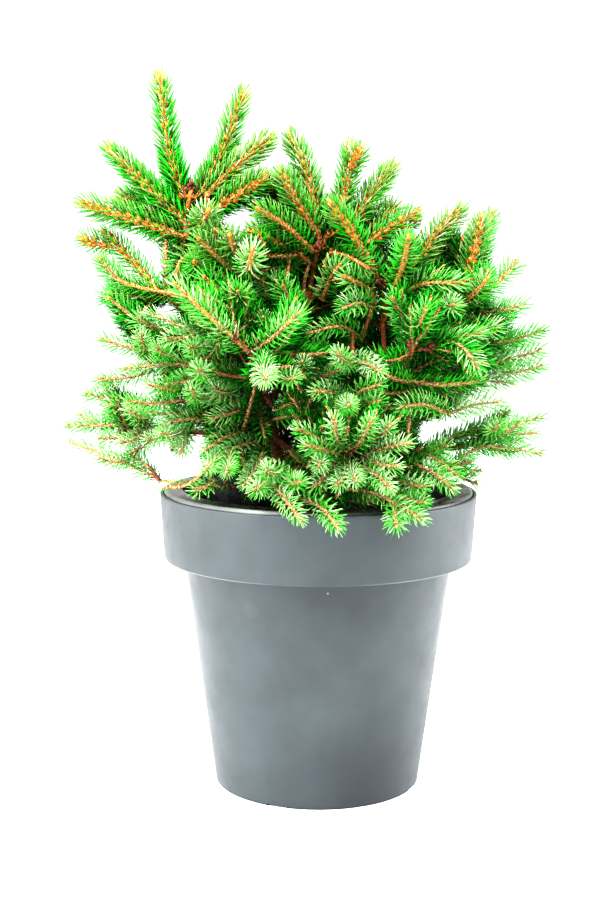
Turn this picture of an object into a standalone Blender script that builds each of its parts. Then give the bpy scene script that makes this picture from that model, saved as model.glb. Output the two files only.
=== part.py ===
"""A nana black spruce in its pot: a dwarf conifer with a leaning trunk, upright leading stems and short
needled shoots, rooted in a black grower's pot that stands inside a grey moulded one.

The model is in metres, +Z up, standing on z = 0 with the grey pot's axis on the origin and its front
towards -Y. Sizes in the plan below are in millimetres and are turned to metres where they are read.
"""

import math
import random

import bmesh
import bpy
import numpy as np
from mathutils import Matrix, Vector

MM = 0.001
UP = np.array((0.0, 0.0, 1.0))

# Clearance between pieces that touch, and how near two points are before they are welded.
GAP = 0.3 * MM
WELD = 0.0005 * MM

# The grey pot: a tapering body under a wide plain band.
POT_HEIGHT = 177.4 * MM
POT_FOOT_RADIUS = 61.6 * MM
POT_SHOULDER_RADIUS = 80.5 * MM
BAND_HEIGHT = 38.7 * MM
BAND_TOP_RADIUS = 95.0 * MM
BAND_FOOT_RADIUS = 92.6 * MM
POT_WALL = 1.9 * MM
POT_FLOOR = 3.0 * MM
POT_EDGE = 1.6 * MM
POT_STEPS = 40
DRAIN_RADIUS = 5.0 * MM
DRAIN_CIRCLE = 42.0 * MM
DRAIN_COUNT = 4
DRAIN_TURN = math.radians(-119)
NOTCH_HALF_WIDTH = 2.6 * MM
NOTCH_HEIGHT = 1.3 * MM

# The grower's pot inside it, with a flange that fills the band's mouth.
FLANGE_RADIUS = BAND_TOP_RADIUS - POT_WALL - 1.8 * MM
FLANGE_INNER_RADIUS = 81.5 * MM
FLANGE_TOP = POT_HEIGHT - 0.2 * MM
FLANGE_FALL = 0.9 * MM
FLANGE_EDGE = 1.0 * MM
FLANGE_LIP = 5.0 * MM
GROWER_FOOT_RADIUS = 57.0 * MM
GROWER_WALL = 1.5 * MM
GROWER_STEPS = 28

# The peat that fills the grower's pot, a little mounded round the trunk.
SOIL_TOP = 159.0 * MM
SOIL_MOUND = 3.0 * MM
SOIL_CROWN_RADIUS = 26.0 * MM
SOIL_STEPS = 24

# The trunk leaves the soil beside the pot's axis, leans left and turns upright under its top whorl.
TRUNK_FOOT = (-19, 0, 158)
TRUNK_KNOTS = (TRUNK_FOOT, (-28, 0, 212), (-58, 6, 274), (-81, 8, 322), (-76, 5, 356))
TRUNK_FOOT_RADIUS = 4.9 * MM
TRUNK_TIP_RADIUS = 1.5 * MM
TRUNK_FLARE = 3.4 * MM
TRUNK_FLARE_HEIGHT = 7.0 * MM

# The boughs. Each row: name, limb it leaves, share of that limb's length where it leaves, a point that it
# passes through, its tip, and its radius at foot and tip.
BOUGHS = (
    ("bough_centre", "trunk", 0.31, (-12, -6, 272), (0, -9, 327), 2.6, 1.2),
    ("bough_right_leader", "trunk", 0.17, (33, -9, 226), (37, -12, 299), 3.0, 1.3),
    ("bough_right_crown", "bough_right_leader", 0.42, (66, 6, 250), (85, 0, 298), 2.1, 1.1),
    ("bough_right_low", "trunk", 0.08, (30, -14, 195), (76, -16, 206), 2.2, 1.1),
    ("bough_front_right", "bough_right_leader", 0.50, (45, -32, 244), (52, -50, 266), 1.8, 1.0),
    ("bough_front", "trunk", 0.35, (-31, -38, 240), (-36, -66, 263), 2.0, 1.0),
    ("bough_front_low", "trunk", 0.25, (-6, -38, 200), (17, -72, 208), 2.0, 1.0),
    ("bough_left_low", "trunk", 0.21, (-62, -4, 212), (-104, -10, 213), 2.2, 1.1),
    ("bough_left_mid", "trunk", 0.42, (-72, 2, 250), (-94, 0, 262), 1.9, 1.0),
    ("bough_back_left", "trunk", 0.375, (-52, 34, 250), (-68, 58, 275), 2.0, 1.0),
    ("bough_back", "trunk", 0.26, (-8, 34, 226), (2, 66, 268), 2.2, 1.0),
    ("bough_back_right", "trunk", 0.125, (26, 32, 196), (60, 58, 216), 2.1, 1.0),
)

# The masses of needled shoots. Each row: name, limb its stem leaves, share of that limb's length where it
# leaves, the tips of its leading shoots, and how many side shoots each of those carries.
MASSES = (
    ("crown_top", "trunk", 1.00, ((-96, 5, 423),), 2),
    ("crown_right", "trunk", 0.97, ((-45, 0, 413), (-29, -10, 387)), 1),
    ("crown_left", "trunk", 0.93, ((-125, 0, 379), (-136, -14, 348)), 1),
    ("crown_front", "trunk", 0.865, ((-61, -50, 345),), 2),
    ("crown_back", "trunk", 0.895, ((-96, 52, 378), (-46, 52, 366)), 1),
    ("centre_top", "bough_centre", 1.00, ((-17, 0, 386),), 2),
    ("centre_right", "bough_centre", 0.94, ((22, 2, 383), (43, 10, 370)), 1),
    ("centre_front", "bough_centre", 0.86, ((-34, -56, 339),), 3),
    ("centre_back", "bough_centre", 0.76, ((-2, 62, 346),), 3),
    ("leader_front", "bough_right_leader", 1.00, ((6, -32, 345),), 2),
    ("leader_face", "bough_right_leader", 0.92, ((50, -62, 322), (78, -44, 303)), 1),
    ("leader_top", "bough_right_leader", 0.86, ((84, 0, 346), (54, -20, 340)), 1),
    ("inner_right", "bough_centre", 0.52, ((27, 12, 296),), 2),
    ("inner_left", "trunk", 0.50, ((-43, -20, 302),), 2),
    ("right_crown_top", "bough_right_crown", 1.00, ((94, -8, 338), (103, 20, 340)), 1),
    ("right_crown_side", "bough_right_crown", 0.92, ((115, -2, 311), (117, -22, 289)), 1),
    ("right_crown_back", "bough_right_crown", 0.82, ((98, 54, 300),), 3),
    ("right_outer", "bough_right_crown", 0.62, ((133, 8, 274), (131, 2, 254)), 1),
    ("right_tip", "bough_right_low", 1.00, ((127, 2, 223), (128, -22, 202)), 1),
    ("right_front", "bough_right_low", 0.80, ((76, -62, 193), (50, -96, 181)), 1),
    ("right_mid", "bough_right_leader", 0.30, ((119, 30, 234),), 3),
    ("front_right_side", "bough_front_right", 1.00, ((84, -62, 273),), 3),
    ("front_right_face", "bough_front_right", 0.88, ((57, -88, 287),), 2),
    ("front_right_low", "bough_front_right", 0.70, ((66, -76, 234),), 2),
    ("front_big_left", "bough_front", 1.00, ((-73, -84, 300),), 1),
    ("front_big_right", "bough_front", 0.93, ((-12, -94, 287),), 1),
    ("front_nose", "bough_front", 0.85, ((-28, -113, 256),), 3),
    ("front_middle", "bough_front_low", 0.62, ((13, -90, 258),), 3),
    ("front_fan", "bough_front_low", 1.00, ((-3, -102, 222), (43, -98, 226)), 2),
    ("over_rim", "bough_front_low", 0.75, ((-10, -104, 186), (10, -112, 178)), 1),
    ("left_front", "trunk", 0.285, ((-88, -60, 220), (-54, -88, 190)), 1),
    ("left_low", "bough_left_low", 1.00, ((-146, -20, 209), (-147, -8, 221)), 1),
    ("left_rim", "bough_left_low", 0.70, ((-97, -34, 184),), 2),
    ("left_outer", "bough_left_mid", 1.00, ((-133, -16, 240), (-126, -18, 269)), 1),
    ("left_mid", "bough_left_mid", 0.85, ((-124, 34, 250),), 3),
    ("left_top", "trunk", 0.58, ((-130, -9, 315), (-142, 12, 327)), 1),
    ("left_upper", "trunk", 0.65, ((-112, 46, 318),), 3),
    ("back_left_top", "bough_back_left", 1.00, ((-72, 94, 322),), 3),
    ("back_left_side", "bough_back_left", 0.80, ((-112, 84, 270),), 3),
    ("back_left_low", "bough_back_left", 0.45, ((-84, 92, 216),), 3),
    ("back_top", "bough_back", 1.00, ((8, 102, 314),), 3),
    ("back_low", "bough_back", 0.70, ((-28, 116, 232),), 3),
    ("back_right_top", "bough_back", 0.85, ((56, 98, 276),), 3),
    ("back_right_low", "bough_back_right", 1.00, ((102, 82, 226), (52, 108, 206)), 2),
)

# The masses' rule. A stem runs bare to its hub, each leading shoot runs on from the hub to its tip, and
# side shoots leave the leading ones in turn round them, at an open angle.
SEED = 41
STEM_SHARE = 0.27
LEAD_LONGEST = 52 * MM
STEM_RADIUS = 0.95 * MM
SHOOT_DROOP = 0.05
SIDE_SHARE = 0.62
SIDE_OPEN = math.radians(56)
SIDE_FIRST = 0.10
SIDE_LAST = 0.52
SIDE_SHORTEN = 0.35
SIDE_TURN = math.radians(137.5)
TURN_TRIES = (0, 35, -35, 70, -70, 110)
LENGTH_TRIES = (1.0, 0.8, 0.62)

# A shoot's solid is a slim core whose faces each rise to a forward-pointing needle.
SHOOT_SIDES = 3
CORE_RADIUS = 2.8 * MM
NEEDLE_RADIUS = 10.5 * MM
NEEDLE_FORWARD = 7.0 * MM
NEEDLE_STUB = 0.3 * MM
TIER = 12.5 * MM
LEAD_BARE_FOOT = 3.0 * MM
SIDE_BARE_FOOT = 10.0 * MM
PULLS = (1.0, 0.8, 0.6, 0.42, 0.28)

# Room that a mass keeps from its neighbours' axes, from limbs and from the pots and soil.
MASS_MARGIN = 0.9 * MM
LIMB_MARGIN = 0.8 * MM
POT_MARGIN = 2.6 * MM


def clear_scene():
    for obj in list(bpy.data.objects):
        bpy.data.objects.remove(obj, do_unlink=True)


def new_collection(name):
    collection = bpy.data.collections.new(name)
    bpy.context.scene.collection.children.link(collection)
    return collection


def material(name, colour, roughness):
    """A Principled BSDF material of one linear colour."""
    result = bpy.data.materials.new(name)
    result.use_nodes = True
    shader = result.node_tree.nodes["Principled BSDF"]
    shader.inputs["Base Color"].default_value = (*colour, 1)
    shader.inputs["Roughness"].default_value = roughness
    shader.inputs["Metallic"].default_value = 0
    return result


def add_object(name, data, collection, surface=None):
    obj = bpy.data.objects.new(name, data)
    collection.objects.link(obj)
    if surface:
        data.materials.clear()
        data.materials.append(surface)
    return obj


def baked(obj):
    """The object's mesh as its modifiers and its curve leave it, with the doubled points of caps welded."""
    graph = bpy.context.evaluated_depsgraph_get()
    mesh = bpy.data.meshes.new_from_object(obj.evaluated_get(graph))
    mesh.transform(obj.matrix_world)
    bm = bmesh.new()
    bm.from_mesh(mesh)
    bmesh.ops.remove_doubles(bm, verts=bm.verts, dist=WELD)
    bm.to_mesh(mesh)
    bm.free()
    return mesh


def drop(obj):
    """Removes a helper object, then the data that it alone used."""
    data = obj.data
    bpy.data.objects.remove(obj, do_unlink=True)
    if isinstance(data, bpy.types.Mesh):
        bpy.data.meshes.remove(data)
    else:
        bpy.data.curves.remove(data)


def apply_modifiers(obj):
    """Replaces the object's mesh by what its modifiers make of it."""
    mesh = baked(obj)
    obj.modifiers.clear()
    old, obj.data = obj.data, mesh
    bpy.data.meshes.remove(old)


def combine(obj, operation, others):
    """Joins or cuts the object with every object of a collection, applies that and empties the collection."""
    modifier = obj.modifiers.new(operation.lower(), "BOOLEAN")
    modifier.operation = operation
    modifier.operand_type = "COLLECTION"
    modifier.collection = others
    modifier.solver = "MANIFOLD"
    apply_modifiers(obj)
    for other in list(others.objects):
        drop(other)


def keep_largest(mesh):
    """Leaves only the shell that reaches furthest, so sealed hollows are filled and loose scraps go."""
    bm = bmesh.new()
    bm.from_mesh(mesh)
    unseen = set(bm.verts)
    shells = []
    while unseen:
        shell, front = set(), [unseen.pop()]
        while front:
            vert = front.pop()
            shell.add(vert)
            linked = {edge.other_vert(vert) for edge in vert.link_edges} & unseen
            unseen -= linked
            front.extend(linked)
        shells.append(shell)
    spans = [max((a.co - next(iter(shell)).co).length for a in shell) for shell in shells]
    largest = shells[spans.index(max(spans))]
    bmesh.ops.delete(bm, geom=[vert for vert in bm.verts if vert not in largest], context="VERTS")
    bm.to_mesh(mesh)
    bm.free()


def turned(name, profile, steps, collection, surface):
    """A solid of revolution. The profile is (radius, height) pairs at +X, down the outer side and back up."""
    mesh = bpy.data.meshes.new(name)
    edges = [(i, i + 1) for i in range(len(profile) - 1)]
    mesh.from_pydata([(radius, 0, height) for radius, height in profile], edges, [])
    obj = add_object(name, mesh, collection, surface)
    screw = obj.modifiers.new("turn", "SCREW")
    screw.angle = 2 * math.pi
    screw.steps = screw.render_steps = steps
    screw.use_merge_vertices = True
    screw.merge_threshold = WELD
    apply_modifiers(obj)
    return obj


def rounded(corner, before, after, radius, count=2):
    """Points of a fillet at a profile's corner, between its neighbours."""
    corner, before, after = (np.array(point) for point in (corner, before, after))
    into = (before - corner) / np.linalg.norm(before - corner)
    out = (after - corner) / np.linalg.norm(after - corner)
    shares = np.linspace(0, 1, count + 1)[:, None]
    start, end = corner + into * radius, corner + out * radius
    curve = (1 - shares) ** 2 * start + 2 * shares * (1 - shares) * corner + shares**2 * end
    return [tuple(point) for point in curve]


def cutter(name, collection, segments, radius, height, centre, turn):
    """An upright prism of so many sides, for cutting a hole or a notch."""
    bm = bmesh.new()
    place = Matrix.Translation(centre) @ Matrix.Rotation(turn + math.pi / segments, 4, "Z")
    bmesh.ops.create_cone(
        bm, cap_ends=True, segments=segments, radius1=radius, radius2=radius, depth=height, matrix=place
    )
    mesh = bpy.data.meshes.new(name)
    bm.to_mesh(mesh)
    bm.free()
    return add_object(name, mesh, collection)


def make_pot(parts, cutters, surface):
    """The grey pot, open at the top, with drain holes in its floor and a drain notch beside each."""
    band_foot = POT_HEIGHT - BAND_HEIGHT
    mouth = (BAND_TOP_RADIUS - POT_WALL, POT_HEIGHT)
    band_top = (BAND_TOP_RADIUS, POT_HEIGHT)
    band_edge = (BAND_FOOT_RADIUS, band_foot)
    shoulder = (POT_SHOULDER_RADIUS, band_foot)
    foot = (POT_FOOT_RADIUS, 0)
    profile = [
        mouth,
        *rounded(band_top, mouth, band_edge, POT_EDGE / 2, 1),
        *rounded(band_edge, band_top, shoulder, POT_EDGE),
        shoulder,
        *rounded(foot, shoulder, (0, 0), POT_EDGE),
        (0, 0),
        (0, POT_FLOOR),
        (POT_FOOT_RADIUS - POT_WALL, POT_FLOOR),
        (POT_SHOULDER_RADIUS - POT_WALL, band_foot + POT_WALL),
        (BAND_FOOT_RADIUS - POT_WALL, band_foot + POT_WALL),
        mouth,
    ]
    pot = turned("pot", profile, POT_STEPS, parts, surface)
    for index in range(DRAIN_COUNT):
        turn = DRAIN_TURN + math.tau * index / DRAIN_COUNT
        way = Vector((math.cos(turn), math.sin(turn), 0))
        cutter("drain", cutters, 12, DRAIN_RADIUS, 4 * POT_FLOOR, way * DRAIN_CIRCLE, turn)
        corner = NOTCH_HALF_WIDTH * math.sqrt(2)
        cutter("notch", cutters, 4, corner, 2 * NOTCH_HEIGHT, way * POT_FOOT_RADIUS, turn)
    combine(pot, "DIFFERENCE", cutters)


def grower_radius(height):
    """The outer radius of the grower's pot at a height."""
    foot = POT_FLOOR + GAP
    share = (height - foot) / (FLANGE_TOP - foot)
    return GROWER_FOOT_RADIUS + (FLANGE_INNER_RADIUS - GROWER_FOOT_RADIUS) * share


def make_grower_pot(parts, surface):
    """The black pot that the plant was raised in, standing on the grey pot's floor.

    Its flange fills the band's mouth, falls a little to its outer edge and turns down there as a lip.
    """
    foot = POT_FLOOR + GAP
    flange_edge = FLANGE_TOP - FLANGE_FALL
    under_flange = flange_edge - GROWER_WALL
    profile = [
        (FLANGE_INNER_RADIUS + FLANGE_EDGE, FLANGE_TOP),
        (FLANGE_RADIUS - FLANGE_EDGE, flange_edge),
        (FLANGE_RADIUS, flange_edge - FLANGE_EDGE),
        (FLANGE_RADIUS, flange_edge - FLANGE_LIP),
        (FLANGE_RADIUS - GROWER_WALL, flange_edge - FLANGE_LIP),
        (FLANGE_RADIUS - GROWER_WALL, under_flange),
        (grower_radius(under_flange), under_flange),
        (GROWER_FOOT_RADIUS, foot),
        (0, foot),
        (0, foot + GROWER_WALL),
        (GROWER_FOOT_RADIUS - GROWER_WALL, foot + GROWER_WALL),
        (FLANGE_INNER_RADIUS - GROWER_WALL, FLANGE_TOP - FLANGE_EDGE),
        (FLANGE_INNER_RADIUS + FLANGE_EDGE, FLANGE_TOP),
    ]
    turned("grower_pot", profile, GROWER_STEPS, parts, surface)


def make_soil(parts, surface):
    """The peat, filling the grower's pot to a little below its flange and mounded at the middle."""
    foot = POT_FLOOR + GAP + GROWER_WALL + GAP
    edge = SOIL_TOP - SOIL_MOUND
    # The peat lies inside the wall's flat facets, so its radius is eased by what a facet loses.
    facet = math.cos(math.pi / GROWER_STEPS)
    edge_radius = facet * (grower_radius(edge) - GROWER_WALL) - GAP
    foot_radius = facet * (grower_radius(foot) - GROWER_WALL) - GAP
    profile = [
        (0, SOIL_TOP),
        (SOIL_CROWN_RADIUS, SOIL_TOP),
        (edge_radius, edge),
        (foot_radius, foot),
        (0, foot),
    ]
    turned("soil", profile, SOIL_STEPS, parts, surface)


def smooth_path(knots, count):
    """Points evenly shared along a Catmull-Rom curve through the knots."""
    knots = np.asarray(knots, float)
    padded = np.vstack([2 * knots[0] - knots[1], knots, 2 * knots[-1] - knots[-2]])
    places = np.linspace(0, len(knots) - 1, count)
    index = np.minimum(places.astype(int), len(knots) - 2)
    t = (places - index)[:, None]
    p0, p1, p2, p3 = (padded[index + shift] for shift in range(4))
    return 0.5 * (
        2 * p1 + (p2 - p0) * t + (2 * p0 - 5 * p1 + 4 * p2 - p3) * t**2 + (3 * p1 - p0 - 3 * p2 + p3) * t**3
    )


def shares_along(path):
    """Each point's share of the path's length."""
    steps = np.linalg.norm(np.diff(path, axis=0), axis=1)
    lengths = np.concatenate([[0], np.cumsum(steps)])
    return lengths / lengths[-1]


def point_at(path, share):
    """The points at shares of the path's length, carried straight on past its end."""
    share = np.atleast_1d(np.asarray(share, float))
    places = shares_along(path)
    inside = np.stack([np.interp(share, places, path[:, axis]) for axis in range(3)], axis=-1)
    length = np.linalg.norm(np.diff(path, axis=0), axis=1).sum()
    heading = path[-1] - path[-2]
    heading = heading / np.linalg.norm(heading)
    return inside + np.maximum(share - 1, 0)[:, None] * length * heading


class Limb:
    """A tapering limb: its path and its radius at each point."""

    def __init__(self, name, path, radii, resolution):
        self.name = name
        self.path = path
        self.radii = radii
        self.resolution = resolution

    def mesh_object(self, name, collection, surface=None, grow=0.0):
        """A round bar along the path, as a mesh. Grown, it is fatter and longer by that much all round."""
        path = self.path.copy()
        for end, inner in ((0, 1), (-1, -2)):
            outward = path[end] - path[inner]
            path[end] += grow * outward / np.linalg.norm(outward)
        curve = bpy.data.curves.new(name, "CURVE")
        curve.dimensions = "3D"
        curve.bevel_depth = 1.0
        curve.bevel_resolution = self.resolution
        curve.use_fill_caps = True
        spline = curve.splines.new("POLY")
        spline.points.add(len(path) - 1)
        spline.points.foreach_set("co", np.c_[path, np.ones(len(path))].ravel())
        spline.points.foreach_set("radius", self.radii + grow)
        guide = add_object(name + "_line", curve, collection)
        mesh = baked(guide)
        drop(guide)
        return add_object(name, mesh, collection, surface)


def plan_limbs():
    """The trunk, then each bough from a place on the limb that carries it."""
    path = smooth_path(np.array(TRUNK_KNOTS) * MM, 18)
    shares = shares_along(path)
    radii = TRUNK_FOOT_RADIUS + (TRUNK_TIP_RADIUS - TRUNK_FOOT_RADIUS) * shares**0.8
    radii += TRUNK_FLARE * np.exp(-(path[:, 2] - path[0, 2]) / TRUNK_FLARE_HEIGHT)
    limbs = {"trunk": Limb("trunk", path, radii, 2)}
    for name, parent, leaves, middle, tip, foot_radius, tip_radius in BOUGHS:
        start = point_at(limbs[parent].path, leaves)[0]
        path = smooth_path(np.vstack([start, np.array(middle) * MM, np.array(tip) * MM]), 8)
        radii = np.linspace(foot_radius, tip_radius, len(path)) * MM
        limbs[name] = Limb(name, path, radii, 1)
    return limbs


def make_limbs(limbs, parts, cutters, surface):
    """The limbs' solids. A bough is cut 0.3 mm clear of the limb that carries it, and the trunk cut flat."""
    trunk = limbs["trunk"].mesh_object("trunk", parts, surface)
    bm = bmesh.new()
    bm.from_mesh(trunk.data)
    everything = list(bm.verts) + list(bm.edges) + list(bm.faces)
    foot = Vector((0, 0, SOIL_TOP + GAP))
    cut = bmesh.ops.bisect_plane(bm, geom=everything, plane_co=foot, plane_no=(0, 0, -1), clear_outer=True)
    rim = [item for item in cut["geom_cut"] if isinstance(item, bmesh.types.BMEdge)]
    bmesh.ops.contextual_create(bm, geom=rim)
    bm.to_mesh(trunk.data)
    bm.free()
    for name, parent, *_ in BOUGHS:
        bough = limbs[name].mesh_object(name, parts, surface)
        limbs[parent].mesh_object("carrier", cutters, grow=GAP)
        combine(bough, "DIFFERENCE", cutters)


class Mass:
    """One mass's plan: its stem from a limb to its hub, and its leading shoots from the hub to their tips."""

    def __init__(self, name, limb, start, tips, side_count):
        self.name = name
        self.limb = limb
        self.side_count = side_count
        tips = np.array(tips) * MM
        reach = tips.mean(axis=0) - start
        distance = np.linalg.norm(reach)
        self.hub = start + reach * max(STEM_SHARE, 1 - LEAD_LONGEST / distance)
        self.stem = drooping(start, self.hub, 4)
        self.leads = [drooping(self.hub, tip, 6) for tip in tips]

    def axes(self):
        return [self.stem, *self.leads]


def drooping(start, end, count):
    """A path that leaves low and turns up towards its end, by a small share of its length."""
    shares = np.linspace(0, 1, count)[:, None]
    line = start + (end - start) * shares
    across = np.linalg.norm((end - start)[:2])
    return line - UP * SHOOT_DROOP * across * 4 * shares * (1 - shares)


def segments(paths):
    """The start and end points of every straight piece of the paths."""
    return np.vstack([path[:-1] for path in paths]), np.vstack([path[1:] for path in paths])


def distances(points, starts, ends):
    """The distance from each point to each segment, and how far along the segment its foot lies."""
    runs = ends - starts
    offsets = points[:, None] - starts
    shares = np.clip((offsets * runs).sum(-1) / (runs**2).sum(-1), 0, 1)
    return np.linalg.norm(offsets - shares[..., None] * runs, axis=-1), shares


class Room:
    """The space of one mass: nearer to its own axes than to any other's, clear of limbs, pots and soil."""

    def __init__(self, own, masses, limbs):
        self.own = segments(own.axes())
        self.others = segments([axis for mass in masses if mass is not own for axis in mass.axes()])
        self.limb_segments = segments([limb.path for limb in limbs.values()])
        self.limb_radii = np.concatenate([limb.radii[:-1] for limb in limbs.values()])
        self.limb_growth = np.concatenate([np.diff(limb.radii) for limb in limbs.values()])

    def holds(self, points):
        """For each point, whether it lies in this space."""
        flat = points.reshape(-1, 3)
        own = distances(flat, *self.own)[0].min(axis=1)
        others = distances(flat, *self.others)[0].min(axis=1)
        limb, share = distances(flat, *self.limb_segments)
        limb = (limb - self.limb_radii - share * self.limb_growth).min(axis=1)
        across = np.linalg.norm(flat[:, :2], axis=1)
        over_rim = (across < FLANGE_INNER_RADIUS - 3 * MM) | (across > BAND_TOP_RADIUS + POT_MARGIN)
        clear_of_pot = over_rim | (flat[:, 2] > POT_HEIGHT + POT_MARGIN)
        over_soil = (flat[:, 2] > SOIL_TOP + POT_MARGIN) | (across > BAND_TOP_RADIUS)
        held = (own + MASS_MARGIN < others) & (limb > LIMB_MARGIN) & clear_of_pot & over_soil
        return held.reshape(points.shape[:-1])


def frames(path, shares):
    """Two unit vectors across the path at each share of its length."""
    step = 0.02
    heading = point_at(path, shares + step) - point_at(path, shares - step)
    heading /= np.linalg.norm(heading, axis=1, keepdims=True)
    side = np.cross(heading, UP + np.array((0.13, 0.07, 0)))
    side /= np.linalg.norm(side, axis=1, keepdims=True)
    return side, np.cross(heading, side)


def swelling(shares):
    """A shoot's thickness along its length: slight at the foot, full past a quarter, finer at the tip."""
    return np.interp(shares, (0, 0.22, 0.75, 1.0), (0.42, 1.0, 0.92, 0.4))


def prism(sides, tiers):
    """A prism of unit radius and height, cut across into tiers, its side faces split into triangles."""
    bm = bmesh.new()
    bmesh.ops.create_cone(
        bm,
        cap_ends=True,
        segments=sides,
        radius1=1,
        radius2=1,
        depth=1,
        matrix=Matrix.Translation((0, 0, 0.5)),
    )
    uprights = [edge for edge in bm.edges if abs(edge.verts[0].co.z - edge.verts[1].co.z) > 0.5]
    bmesh.ops.subdivide_edges(bm, edges=uprights, cuts=tiers - 1, use_grid_fill=True)
    walls = [face for face in bm.faces if abs(face.normal.z) < 0.5]
    bmesh.ops.triangulate(bm, faces=walls, quad_method="FIXED")
    return bm


def first_held(room, centres, targets):
    """Each target, drawn in towards its centre until the room holds it, and whether all of them are held."""
    pulls = np.array(PULLS)[:, None, None]
    tries = centres + pulls * (targets - centres)
    held = room.holds(tries)
    choice = np.where(held.any(axis=0), held.argmax(axis=0), len(PULLS) - 1)
    return tries[choice, np.arange(len(centres))], held.any(axis=0)


def needled_shoot(path, room, bare_foot, rng):
    """The solid of one shoot, as a mesh, or None where the room is too small for its core."""
    length = np.linalg.norm(np.diff(path, axis=0), axis=1).sum()
    tiers = max(2, round(length / TIER))
    bm = prism(SHOOT_SIDES, tiers)
    corners = list(bm.verts)
    bare = bare_foot / length
    walls = [face for face in bm.faces if abs(face.normal.z) < 0.5 and face.calc_center_median().z > bare]
    needle_tips = bmesh.ops.poke(bm, faces=walls)["verts"]
    twist = rng.uniform(0, math.tau)

    places = np.array([vert.co.z for vert in corners])
    turns = np.array([math.atan2(vert.co.y, vert.co.x) for vert in corners])
    turns = turns + twist + math.pi / SHOOT_SIDES * places * tiers
    side, rise = frames(path, places)
    centres = point_at(path, places)
    out = np.cos(turns)[:, None] * side + np.sin(turns)[:, None] * rise
    rings = centres + out * (CORE_RADIUS * swelling(places))[:, None]
    rings, held = first_held(room, centres, rings)
    if not held.all():
        bm.free()
        return None

    for vert, place in zip(corners, rings):
        vert.co = place
    places = np.array([vert.co.z for vert in needle_tips])
    around = [[edge.other_vert(tip).co for edge in tip.link_edges] for tip in needle_tips]
    roots = np.array(around).mean(axis=1)
    axis = point_at(path, places)
    forward = np.cross(*frames(path, places))
    out = roots - axis
    out -= forward * (out * forward).sum(-1, keepdims=True)
    out /= np.linalg.norm(out, axis=1, keepdims=True)
    reach = NEEDLE_RADIUS * np.interp(places, (0, 0.15, 0.7, 1.0), (0.55, 1.0, 1.0, 0.6))
    reach = reach * np.array([rng.uniform(0.86, 1.08) for _ in needle_tips])
    lean = NEEDLE_FORWARD * np.interp(places, (0, 1), (0.8, 1.25))
    targets = axis + out * reach[:, None] + forward * lean[:, None]
    points, held = first_held(room, roots, targets)
    points = np.where(held[:, None], points, roots + out * NEEDLE_STUB)
    for vert, place in zip(needle_tips, points):
        vert.co = place
    mesh = bpy.data.meshes.new("shoot")
    bm.to_mesh(mesh)
    bm.free()
    return mesh


def twig(path, radius, tip_radius, sides=3):
    """A plain tapering twig along the path, as a mesh."""
    bm = prism(sides, len(path) - 1)
    places = np.array([vert.co.z for vert in bm.verts])
    turns = np.array([math.atan2(vert.co.y, vert.co.x) for vert in bm.verts])
    side, rise = frames(path, places)
    out = np.cos(turns)[:, None] * side + np.sin(turns)[:, None] * rise
    points = point_at(path, places) + out * np.interp(places, (0, 1), (radius, tip_radius))[:, None]
    for vert, place in zip(bm.verts, points):
        vert.co = place
    mesh = bpy.data.meshes.new("twig")
    bm.to_mesh(mesh)
    bm.free()
    return mesh


def side_shoots(lead, count, room, rng):
    """Side shoots round a leading one. Each tries other turns and shorter lengths until the room holds it."""
    length = np.linalg.norm(np.diff(lead, axis=0), axis=1).sum()
    first_turn = rng.uniform(0, math.tau)
    meshes = []
    for index in range(count):
        share = SIDE_FIRST + (SIDE_LAST - SIDE_FIRST) * index / max(count - 1, 1)
        root = point_at(lead, share)[0]
        heading = point_at(lead, share + 0.05)[0] - point_at(lead, share - 0.02)[0]
        heading /= np.linalg.norm(heading)
        side, rise = (axis[0] for axis in frames(lead, np.array([share])))
        full = length * SIDE_SHARE * (1 - SIDE_SHORTEN * share) * rng.uniform(0.9, 1.1)
        mesh = None
        for shorter in LENGTH_TRIES:
            for degrees in TURN_TRIES:
                turn = first_turn + SIDE_TURN * index + math.radians(degrees)
                out = math.cos(turn) * side + math.sin(turn) * rise
                way = heading * math.cos(SIDE_OPEN) + out * math.sin(SIDE_OPEN)
                path = drooping(root, root + way * full * shorter, 4)
                mesh = needled_shoot(path, room, SIDE_BARE_FOOT, rng)
                if mesh:
                    break
            if mesh:
                meshes.append(mesh)
                break
    return meshes


def make_mass(mass, masses, limbs, parts, cutters, surface):
    """Joins a mass's stem, leading shoots and side shoots into one solid, cut clear of its limb."""
    rng = random.Random(SEED + masses.index(mass))
    room = Room(mass, masses, limbs)
    meshes = []
    for lead in mass.leads:
        meshes += [mesh for mesh in [needled_shoot(lead, room, LEAD_BARE_FOOT, rng)] if mesh]
        meshes += side_shoots(lead, mass.side_count, room, rng)
    obj = add_object(mass.name, twig(mass.stem, STEM_RADIUS, STEM_RADIUS), parts, surface)
    for mesh in meshes:
        add_object("shoot", mesh, cutters)
    combine(obj, "UNION", cutters)
    limbs[mass.limb].mesh_object("carrier", cutters, grow=GAP)
    combine(obj, "DIFFERENCE", cutters)
    keep_largest(obj.data)
    obj.data.materials.clear()
    obj.data.materials.append(surface)


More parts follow.
